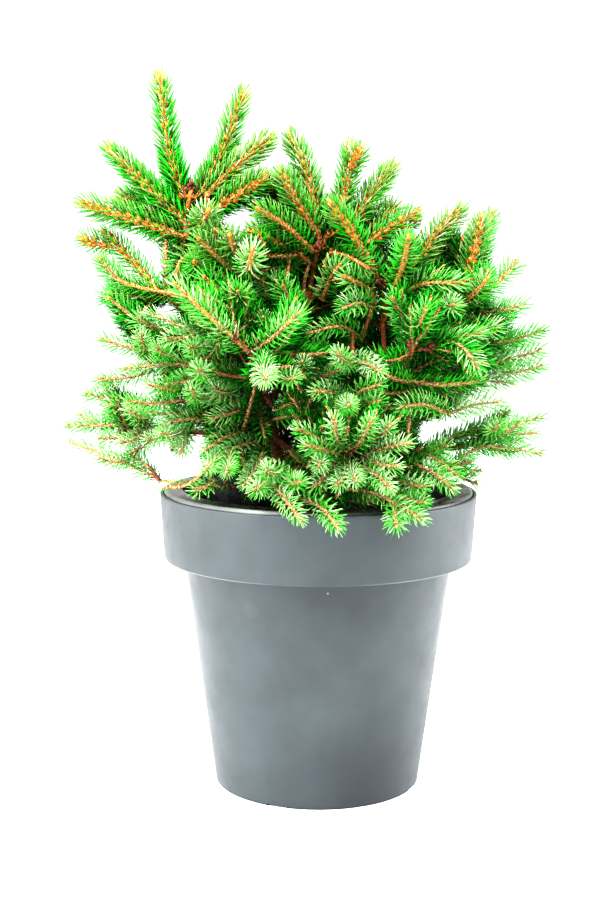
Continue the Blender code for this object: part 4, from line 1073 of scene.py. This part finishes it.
# Short inner shoots along the limbs and stems, above the pot.
INNER_SPACING = 6.5 * MM
INNER_LENGTHS = (22, 36)
INNER_OPEN = 62
INNER_GIRTH = 0.75
INNER_ROOM = 4.6 * MM
INNER_LOWEST = SOIL_TOP + 26 * MM
for path in [path for path, _ in limbs.values()] + stems:
    for share in np.arange(0.15, 0.97, INNER_SPACING / length_of(path)):
        if at_share(path, share)[2] > INNER_LOWEST:
            length = rng.uniform(*INNER_LENGTHS) * MM
            turn = rng.uniform(0, math.tau)
            grow(path, share, INNER_OPEN, length, "inner", turn, INNER_GIRTH, INNER_ROOM)

# Where the crown's middle would let light through, dark shoots cross behind it, on a grid as seen in front:
# their needles' dark green is painted shade.
CORE_ACROSS = (-50 * MM, 66 * MM)
CORE_HEIGHTS = (190 * MM, 352 * MM)
CORE_STEPS = (19 * MM, 11 * MM)
CORE_DEPTH = 38 * MM
CORE_HALF_SHOOT = (13, 4, 6)
nearer = CAMERA_DISTANCE / (CAMERA_DISTANCE + CORE_DEPTH)
for across in np.arange(*CORE_ACROSS, CORE_STEPS[0]):
    for height in np.arange(*CORE_HEIGHTS, CORE_STEPS[1]):
        aside, back, up = CORE_HALF_SHOOT
        half = np.array((math.copysign(aside, across), back, up * rng.uniform(-1, 1))) * MM
        if not in_opening(np.array((across, height)), sky, 12 * MM).any():
            raised = CAMERA_HEIGHT + (height - CAMERA_HEIGHT) / nearer
            middle = np.array((across / nearer, CORE_DEPTH, raised))
            start = nearest_wood(middle - half, unit(half))
            add_shoot(drooping(start, middle - half), "inner", 0.9, 1 * MM)
            add_shoot(drooping(middle - half, middle + half), "inner", 0.75, 0, 9 * MM, 0)


# The shoots' wood: hairless, a little knobbly where needles stood, orange-tan while it is young and browner
# and scaly after two years. Each kind of twig is a joined mesh of tapering bars on the shoots' paths.
STEM_RADII = (1.9 * MM, 1.5 * MM)
TWIG_RADII = (1.3 * MM, 0.9 * MM)
TWIG_BAR = (0.9 * MM, 6)
SMALL_BAR = (2.2 * MM, 4)
KNOBBLY = 0.26
UPPER_HEIGHT = 300 * MM
# Leading shoots are stouter up the crown, between these tip heights.
GIRTH_HEIGHTS = (0.29, 0.35)
GIRTHS = (0.72, 1.5)
TWIG_FLECK = 1.2 * MM


def grow_on_masses(made):
    """Sets a joined piece of the crown on the plant, in place of the masses' solids."""
    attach(made, "root")
    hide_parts(*MASSES)


def wood(name, paths, girths, radii, surface, bar):
    """Joined twigs: bars that taper from foot to tip radius, times each one's girth, roughened at random.

    A bar is how far its rows are apart, on all but the longest tenth of the twigs, and how many sides it has.
    """
    row, sides = bar
    rows = math.ceil(np.percentile([length_of(path) for path in paths], 90) / row)
    fine = np.array([smooth_path(path, rows) for path in paths])
    foot, tip = (radius * girths[:, None] for radius in radii)
    relief = 1 + KNOBBLY * rng.uniform(-1, 1, (len(paths), rows, sides))
    walls = tubes(fine, foot + (tip - foot) * np.linspace(0, 1, rows), sides, relief)
    grow_on_masses(put_mesh(name, *walls, surface))


def flecked(name, fleck, unevenness, stops, finish):
    """A material that runs over the stops' colours in flecks of one size, with the finish's shader inputs."""
    made, tree, place = new_material(name)
    inputs = {"Vector": place, "Scale": 1 / fleck, "Detail": 3.0, "Roughness": unevenness}
    colours = add_node(tree, "ValToRGB", {"Fac": add_node(tree, "TexNoise", inputs)}, stops)
    inputs = {"Base Color": colours, **finish}
    add_node(tree, "OutputMaterial", {"Surface": add_node(tree, "BsdfPrincipled", inputs)})
    return made


# Young spruce bark: hairless and matt, in flecks of 1.2 mm. It is orange on the upper shoots, and paler and
# greyer on the lower ones.
YOUNG_FINISH = {"Roughness": 0.7, "IOR": 1.45}
orange_tan = ((0.35, "#7E3A12"), (0.65, "#EBAA66"))
young_bark = flecked("young_spruce_bark", TWIG_FLECK, 0.6, orange_tan, YOUNG_FINISH)
pale_tan = ((0.35, "#5C3012"), (0.72, "#E0B47C"))
pale_bark = flecked("pale_young_spruce_bark", TWIG_FLECK, 0.6, pale_tan, YOUNG_FINISH)

for stem in stems:
    add_shoot(smooth_path(stem, PATH_POINTS), "stem", STEM_RADII[1] / TWIG_RADII[0], 1 * MM)
paths, kinds, girths = (np.array(grown[name]) for name in ("path", "kind", "girth"))
tip_heights = paths[:, -1, 2]
girths *= np.where(kinds == "lead", np.interp(tip_heights, GIRTH_HEIGHTS, GIRTHS), 1)
upper = tip_heights > UPPER_HEIGHT
wood("older_stems", np.array(stems), np.ones(len(stems)), STEM_RADII, bark, TWIG_BAR)
for name, chosen, surface, bar in (
    ("upper_twigs", (kinds == "lead") & upper, young_bark, TWIG_BAR),
    ("lower_twigs", (kinds == "lead") & ~upper, pale_bark, TWIG_BAR),
    ("bare_twigs", kinds == "bare", pale_bark, TWIG_BAR),
    ("side_twigs", kinds == "side", pale_bark, SMALL_BAR),
    ("inner_twigs", kinds == "inner", bark, SMALL_BAR),
):
    wood(name, paths[chosen], girths[chosen], TWIG_RADII, surface, bar)


# The needles: stiff, pointed and some 11 mm long, set singly all round the twig in a spiral of 137.5 degrees,
# pointing forward. Their greens carry painted shade and painted light: the inner ones are dark green, the
# outer ones brighter, the lower and outer ones pale, partly with wax and partly with painted light, the upper
# ones darker sunlit copies, and a few at the top's tips flushed with yellow.
NEEDLE_RADIUS = 0.375 * MM
FULL_NEEDLE = 11 * MM
NEEDLE_SPACING = {"lead": 0.34 * MM, "side": 0.37 * MM, "inner": 0.5 * MM, "stem": 0.7 * MM, "bare": 0.6 * MM}
# Each green, from the darkest up, with its IOR: the more wax on a needle, the whiter its gloss. The first
# five run from painted shade to painted light. The last two stand for full and bright on the sunlit shoots:
# darker copies, painted shade against the strong light there.
NEEDLE_GREENS = {
    "shaded": ("#064A01", 1.22),
    "deep": ("#149A0E", 1.25),
    "full": ("#4CA636", 1.42),
    "bright": ("#84B46C", 1.55),
    "waxy": ("#AAC49C", 1.55),
    "flushed": ("#B59A44", 1.5),
    "sunlit": ("#4C8C30", 1.45),
    "sunlit_pale": ("#729C50", 1.5),
}
FLUSHED = list(NEEDLE_GREENS).index("flushed")
SUNLIT_HEIGHT = 0.315
# A needle is paler towards its shoot's tip and on the side of its shoot that the light falls on.
TIPS_PALER = 0.9
LIT_PALER = 0.55
LIT_SIDE = np.array((-0.3, -0.6, 0.75))
# Inner shoots get painted shade, and so do those near the trunk. Those at the crown's outline get painted
# light.
INNER_DARKER = 0.6
INNER_RADII = (35 * MM, 95 * MM)
CROWN_MIDDLE = 260 * MM
CROWN_HALVES = (140 * MM, 160 * MM)
OUTLINE_LIGHT = ((0.7, 0.95), (-2, 1.4))
# Flushed needles: their largest share at a tip, from a height up, in full so much higher.
FLUSH_SHARE = 0.30
FLUSH_HEIGHT = 0.32
FLUSH_RISE = 0.05
# Needles lie closer to the shoot, and are closer together and stouter, up the crown.
HUGGING_HEIGHTS = (0.33, 0.38)
STOUT_HEIGHTS = (0.31, 0.36)
LIFT = 0.10
# How far a needle opens from its shoot in degrees, and its share of its length, by its place along the shoot.
OPEN_ALONG = ((0, 0.1, 0.7, 0.92, 1), (64, 58, 50, 36, 12))
SIZE_ALONG = ((0, 0.08, 0.8, 1), (0.7, 1, 1, 0.75))
# It has three stretches, between these shares of it, which open by so many degrees more.
NEEDLE_BENDS = (0, 0.34, 0.80, 1.0)
NEEDLE_TURNS = (8, 0, -9)
NEEDLE_CLEARANCE = 0.6 * MM
PIECE_LARGEST = 190_000

lengths = np.array([length_of(path) for path in paths])
middles = paths[:, 4]
crowd = paths[:, 2::2].reshape(-1, 3)
ways_out = unit(np.array([way for way in np.ndindex(3, 3, 3) if way != (1, 1, 1)]) - 1.0)


def openness(place):
    """The share of 26 ways round a place along which no other shoot stands, the upper ways counted twice."""
    offsets = crowd - place
    ahead = offsets @ ways_out.T
    aside = np.sqrt(np.maximum((offsets**2).sum(axis=1)[:, None] - ahead**2, 0))
    free = ~((ahead > 12 * MM) & (aside < 10 * MM)).any(axis=0)
    weight = 1.0 + (ways_out[:, 2] > 0.3)
    return (free * weight).sum() / weight.sum()


# How light each shoot is, on the scale of the first five greens: as listed, or from -0.1 where a tenth of the
# ways round it are free to 2.4 where two thirds are. This paints shade where a shoot is crowded in and light
# where it is open.
open_share = np.array([openness(place) for place in paths[:, 6]])
lightness = np.array(grown["lightness"])
by_rule = lightness < 0
tone = np.where(by_rule, -0.1 + 4.6 * np.clip(open_share - 0.1, 0, 0.55), lightness)
from_trunk = np.linalg.norm(middles[:, :2], axis=1)
darker = np.where((kinds == "inner") | (kinds == "stem"), INNER_DARKER, 0)
tone -= darker + np.where(by_rule, np.interp(from_trunk, INNER_RADII, (1.0, 0)), 0)
outward = np.hypot(paths[:, 6, 0] / CROWN_HALVES[0], (paths[:, 6, 2] - CROWN_MIDDLE) / CROWN_HALVES[1])
tone = np.maximum(tone, np.interp(outward, *OUTLINE_LIGHT))
tone += rng.normal(0, 0.3, len(paths))

# Each needle's shoot, its number on it, and its place along the shoot and along the needled part of it.
spacing = np.array([NEEDLE_SPACING[kind] for kind in kinds])
spacing *= np.interp(tip_heights, STOUT_HEIGHTS, (1.0, 0.85))
bare = np.minimum(np.array(grown["bare"]) / lengths, 0.7)
bare[kinds == "bare"] = 0
counts = np.maximum(6, (lengths * (1 - bare) / spacing).astype(int))
owner = np.repeat(np.arange(len(paths)), counts)
order = np.arange(counts.sum()) - np.repeat(np.cumsum(counts) - counts, counts)
share = bare[owner] + (1 - bare[owner]) * (order + 0.5) / counts[owner]
along = (order + 0.5) / counts[owner]
turn = order * math.radians(GOLDEN_ANGLE) + rng.uniform(0, math.tau, len(paths))[owner]
owner_tip = tip_heights[owner]

headings = unit(np.gradient(paths, axis=1))
references = np.eye(3)[np.abs(paths[:, -1] - paths[:, 0]).argmin(axis=1)][:, None]
path_sides = unit(np.cross(headings, references))
path_rises = np.cross(headings, path_sides)
place = share * (PATH_POINTS - 1)
low = np.minimum(place.astype(int), PATH_POINTS - 2)
past_low = (place - low)[:, None]


def blended(field):
    """A field on the paths' points, read at each needle's place."""
    return field[owner, low] * (1 - past_low) + field[owner, low + 1] * past_low


centre, heading, side, rise = (blended(field) for field in (paths, headings, path_sides, path_rises))
out = np.cos(turn)[:, None] * side + np.sin(turn)[:, None] * rise
opened = np.interp(along, *OPEN_ALONG) + rng.normal(0, 3.5, len(share))
opened *= np.interp(owner_tip, HUGGING_HEIGHTS, (1.0, 0.8))
lift = LIFT * np.linalg.norm(heading[:, :2], axis=1)[:, None] * UP


def leaning(more):
    """The needles' way, opened from the twig by so many degrees more."""
    angle = np.radians(opened + more)[:, None]
    return unit(heading * np.cos(angle) + out * np.sin(angle) + lift)


size = np.interp(along, *SIZE_ALONG) * rng.uniform(0.9, 1.08, len(share))
size *= np.array(grown["needle"])[owner]
twig_radius = (TWIG_RADII[0] + (TWIG_RADII[1] - TWIG_RADII[0]) * share) * girths[owner]
needle_rows = [centre + out * (twig_radius * 0.6)[:, None]]
for before, after, more in zip(NEEDLE_BENDS[:-1], NEEDLE_BENDS[1:], NEEDLE_TURNS):
    needle_rows.append(needle_rows[-1] + leaning(more) * ((after - before) * size)[:, None])
base, first, second, point = needle_rows
flush = FLUSH_SHARE * np.clip((middles[:, 2] - FLUSH_HEIGHT) / FLUSH_RISE, 0, 1) * (kinds == "lead")
flushed = rng.random(len(share)) < flush[owner] * np.interp(along, (0.85, 0.95), (0, 1))
paler = TIPS_PALER * (along - 0.5) + LIT_PALER * (out @ LIT_SIDE)
shade = np.clip(np.rint(tone[owner] + paler + rng.normal(0, 0.6, len(share))), 0, 4).astype(int)
# Needles of full and bright high in the crown take the sunlit copies: painted shade against the strong light
# there.
sunlit = (middles[owner, 2] > SUNLIT_HEIGHT) & ((shade == 2) | (shade == 3))
shade = np.where(flushed, FLUSHED, shade + 4 * sunlit)
clear = clear_of_pot(point, NEEDLE_CLEARANCE) & clear_of_pot(first, NEEDLE_CLEARANCE)
kept = clear & ((kinds[owner] != "bare") | (order % 4 == 0))

# A needle is a three-sided bar with a point at each end, bent a little towards its shoot. The two darkest
# greens are deep in the crown, and lose one of its two rings.
girdle = unit(np.cross(point - base, out + 0.01))
crest = unit(np.cross(point - base, girdle))
corner_turns = np.arange(3)[:, None] * math.tau / 3
ring = np.cos(corner_turns) * girdle[:, None] + np.sin(corner_turns) * crest[:, None]
needle_radius = NEEDLE_RADIUS * np.sqrt(size / FULL_NEEDLE) * np.where(shade < 2, 1.2, 1)
needle_radius *= np.interp(owner_tip, STOUT_HEIGHTS, (1.0, 1.4))
thick = ring * needle_radius[:, None, None]
first, second = first[:, None] + thick, second[:, None] + thick * 0.9
needles = np.concatenate([base[:, None], first, second, point[:, None]], axis=1)
here, after = np.arange(3), (np.arange(3) + 1) % 3
foot_faces = np.stack([after + 1, here + 1, 0 * here], axis=-1)
walls = np.stack([here + 1, after + 1, after + 4, here + 4], axis=-1)
tip_faces = np.stack([here + 4, after + 4, 0 * here + 7], axis=-1)
one_ring_faces = np.stack([here + 1, after + 1, 0 * here + 4], axis=-1)

for number, (name, (green, ior)) in enumerate(NEEDLE_GREENS.items()):
    # Spruce needle: a hard waxy skin, satin, of one green, which differs from needle to needle, partly by
    # nature and partly with painted shade and light.
    skin, tree, place = new_material("spruce_needle_" + name)
    inputs = {"Base Color": linear(green), "Roughness": 0.34, "IOR": ior}
    add_node(tree, "OutputMaterial", {"Surface": add_node(tree, "BsdfPrincipled", inputs)})
    chosen = needles[kept & (shade == number)]
    faces, triangles = [walls, np.vstack([foot_faces, tip_faces])], 12
    if number < 2:
        chosen = chosen[:, (0, 1, 2, 3, 7)]
        faces, triangles = [np.vstack([foot_faces, one_ring_faces])], 6
    parts = np.array_split(chosen, math.ceil(len(chosen) * triangles / PIECE_LARGEST))
    for count, some in enumerate(parts, 1):
        grow_on_masses(put_many(f"needles_{name}_{count}", some, faces, skin))


# The pegs: each needle stands on a small orange peg of the twig's bark, a three-sided point that leans with
# it, larger up the crown. They are left off the inner shoots and the side shoots behind.
PEG_LENGTH = 1.7 * MM
PEG_RADIUS = 0.45 * MM
PEG_GROWTH = 1.5
PEG_FACES = np.array(((0, 2, 1), (0, 1, 3), (1, 2, 3), (2, 0, 3)))
peg_size = np.interp(owner_tip, STOUT_HEIGHTS, (1, PEG_GROWTH))[:, None]
peg_feet = (centre + out * (twig_radius * 0.5)[:, None])[:, None] + ring * (PEG_RADIUS * peg_size)[:, None]
peg_tips = base + leaning(10) * PEG_LENGTH * peg_size
pegs = np.concatenate([peg_feet, peg_tips[:, None]], axis=1)
in_view = (kinds != "inner") & ((kinds != "side") | (paths[:, -1, 1] < 0))
for name, chosen, surface in (("upper", upper, young_bark), ("lower", ~upper, pale_bark)):
    some = pegs[clear & (in_view & chosen)[owner]]
    grow_on_masses(put_many(name + "_needle_pegs", some, [PEG_FACES], surface))


# The buds: small ovals of papery, slightly resinous scales, orange-brown at every tip and along the leading
# shoots, and darker, larger ones crowded round each hub.
BUD_ROWS = np.array((0.4, 1.0, 0.9, 0.2))
BUD_SIDES = 5
BUD_FLECK = 1.5 * MM
# Hubs that show in front, in mm.
KNOTS = ((-75, -6, 357), (-1, -20, 323), (-37, -72, 266), (16, -76, 208), (35, -22, 303), (-38, -34, 228))
orange_brown = ((0.35, "#A84A12"), (0.65, "#E08A38"))
bud_scales = flecked("young_bud_scales", BUD_FLECK, 0.5, orange_brown, {"Roughness": 0.5, "IOR": 1.48})
dark_brown = ((0.35, "#2A1008"), (0.65, "#7C381E"))
old_scales = flecked("old_bud_scales", BUD_FLECK, 0.5, dark_brown, {"Roughness": 0.6, "IOR": 1.48})


def buds(name, roots, ways, length, radius, sizes, surface):
    """Joined ovals on roots, drawn out along their ways: a length and radius in mm, times their sizes."""
    shares = np.linspace(-0.1, 1, len(BUD_ROWS))
    lines = roots[:, None] + ways[:, None] * (length * MM * sizes)[:, None, None] * shares[:, None]
    relief = 1 + 0.12 * rng.uniform(-1, 1, (len(roots), len(BUD_ROWS), BUD_SIDES))
    walls = tubes(lines, (radius * MM * sizes)[:, None] * BUD_ROWS, BUD_SIDES, relief)
    grow_on_masses(put_mesh(name, *walls, surface))


budding = (kinds != "bare") & (kinds != "stem")
tips, ways = paths[budding, -1], headings[budding, -1]
sizes = np.where(kinds[budding] == "lead", 1.0, 0.68) * rng.uniform(0.85, 1.15, budding.sum())
sizes *= np.interp(tips[:, 2], (0.28, 0.34), (0.6, 1.25))
high = tips[:, 2] > 0.29
buds("tip_buds", tips[high], ways[high], 3.8, 1.5, sizes[high], bud_scales)
buds("pale_tip_buds", tips[~high], ways[~high], 3.4, 1.4, sizes[~high], pale_bark)

# The highest leading shoots have seven more crowded at each tip, and some between their needles.
leading = (kinds == "lead") & (tip_heights > 0.32) & (paths[:, -1, 1] > -40 * MM)
crowded = np.repeat(np.arange(leading.sum()), 7)
back = rng.uniform(0.5, 11, len(crowded)) * MM
aside = unit(rng.normal(size=(len(crowded), 3)))
tips, ways = paths[leading, -1][crowded], headings[leading, -1][crowded]
aside = unit(aside - (aside * ways).sum(axis=1, keepdims=True) * ways)
sizes = rng.uniform(0.7, 1.1, len(crowded))
roots = tips - ways * back[:, None] + aside * 0.6 * MM
buds("tip_side_buds", roots, unit(ways * 0.8 + aside), 3.6, 1.7, sizes, bud_scales)
sprouting = leading[owner] & (along > 0.15) & (order % 19 < 4)
sizes = rng.uniform(0.7, 1.1, sprouting.sum())
buds("side_buds", base[sprouting], leaning(-15)[sprouting], 3.9, 1.75, sizes, bud_scales)

# Six crowd round each hub, and eleven more round each of those that show in front.
hubs = np.repeat([stem[-1] for stem in stems], 6, axis=0)
ways = np.repeat([unit(stem[-1] - stem[-3]) for stem in stems], 6, axis=0)
ways = unit(ways * 0.6 + unit(rng.normal(size=hubs.shape)))
sizes = rng.uniform(0.7, 1.25, len(hubs))
buds("hub_buds", hubs + ways * 0.8 * MM, ways, 3.6, 1.5, sizes, old_scales)
knots = np.repeat(np.array(KNOTS) * MM, 11, axis=0)
ways = unit(rng.normal(size=knots.shape) + (0, -0.3, 0.3))
sizes = rng.uniform(0.6, 1.2, len(knots))
knots += rng.normal(0, 1.5, knots.shape) * MM
buds("front_hub_buds", knots, ways, 3.4, 1.15, sizes, old_scales)


# The studio: a plain white floor, even light from all round, a large soft lamp above the camera and three
# smaller ones at the front left and the sides. The camera looks slightly down from the front.
FRAME_HEIGHT = 900
FOCAL_PIXELS = 1583.8
CAMERA_PITCH = math.radians(7.3)
CAMERA_YAW = math.radians(-0.676)
CAMERA_ROLL = math.radians(0.25)
FLOOR_HALF = 3.0

paper, tree, place = new_material("white_studio_paper")
inputs = {"Base Color": linear("#F4F4F4"), "Roughness": 0.9}
add_node(tree, "OutputMaterial", {"Surface": add_node(tree, "BsdfPrincipled", inputs)})
corners = np.array(((-1, -1, 0), (1, -1, 0), (1, 1, 0), (-1, 1, 0))) * FLOOR_HALF
floor = put_mesh("studio_floor", corners, [np.array(((0, 1, 2, 3),))], paper)
floor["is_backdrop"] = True

world = bpy.data.worlds.new("studio")
world.use_nodes = True
sky_light = world.node_tree.nodes["Background"]
sky_light.inputs["Color"].default_value = linear("#FFFFFF")
sky_light.inputs["Strength"].default_value = 1.05
scene = bpy.context.scene
scene.world = world
scene.view_settings.view_transform = "Standard"
scene.view_settings.look = "High Contrast"


def softbox(name, place, aim, size, power):
    """A square area lamp at a place, facing a point."""
    lamp = bpy.data.lights.new(name, "AREA")
    lamp.size = size
    lamp.energy = power
    made = bpy.data.objects.new(name, lamp)
    scene.collection.objects.link(made)
    turned = Vector(np.array(aim) - np.array(place)).to_track_quat("-Z", "Y").to_matrix().to_4x4()
    made.matrix_world = Matrix.Translation(place) @ turned


softbox("top", (-0.25, -0.55, 1.3), (0, 0, 0.25), 1.0, 44)
softbox("front", (-0.95, -0.75, 0.4), (0, 0, 0.2), 0.7, 11)
softbox("left", (-1.0, 0.05, 0.35), (0, 0, 0.25), 0.9, 8)
softbox("right", (1.0, 0.0, 0.45), (0, 0, 0.25), 0.9, 16)

lens = bpy.data.cameras.new("camera")
lens.sensor_fit = "VERTICAL"
lens.sensor_height = 36
lens.lens = FOCAL_PIXELS / FRAME_HEIGHT * lens.sensor_height
camera = bpy.data.objects.new("camera", lens)
scene.collection.objects.link(camera)
camera.matrix_world = (
    Matrix.Translation((0, -CAMERA_DISTANCE, CAMERA_HEIGHT))
    @ Matrix.Rotation(-CAMERA_YAW, 4, "Z")
    @ Matrix.Rotation(math.radians(90) - CAMERA_PITCH, 4, "X")
    @ Matrix.Rotation(CAMERA_ROLL, 4, "Z")
)
scene.camera = camera

low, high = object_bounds()
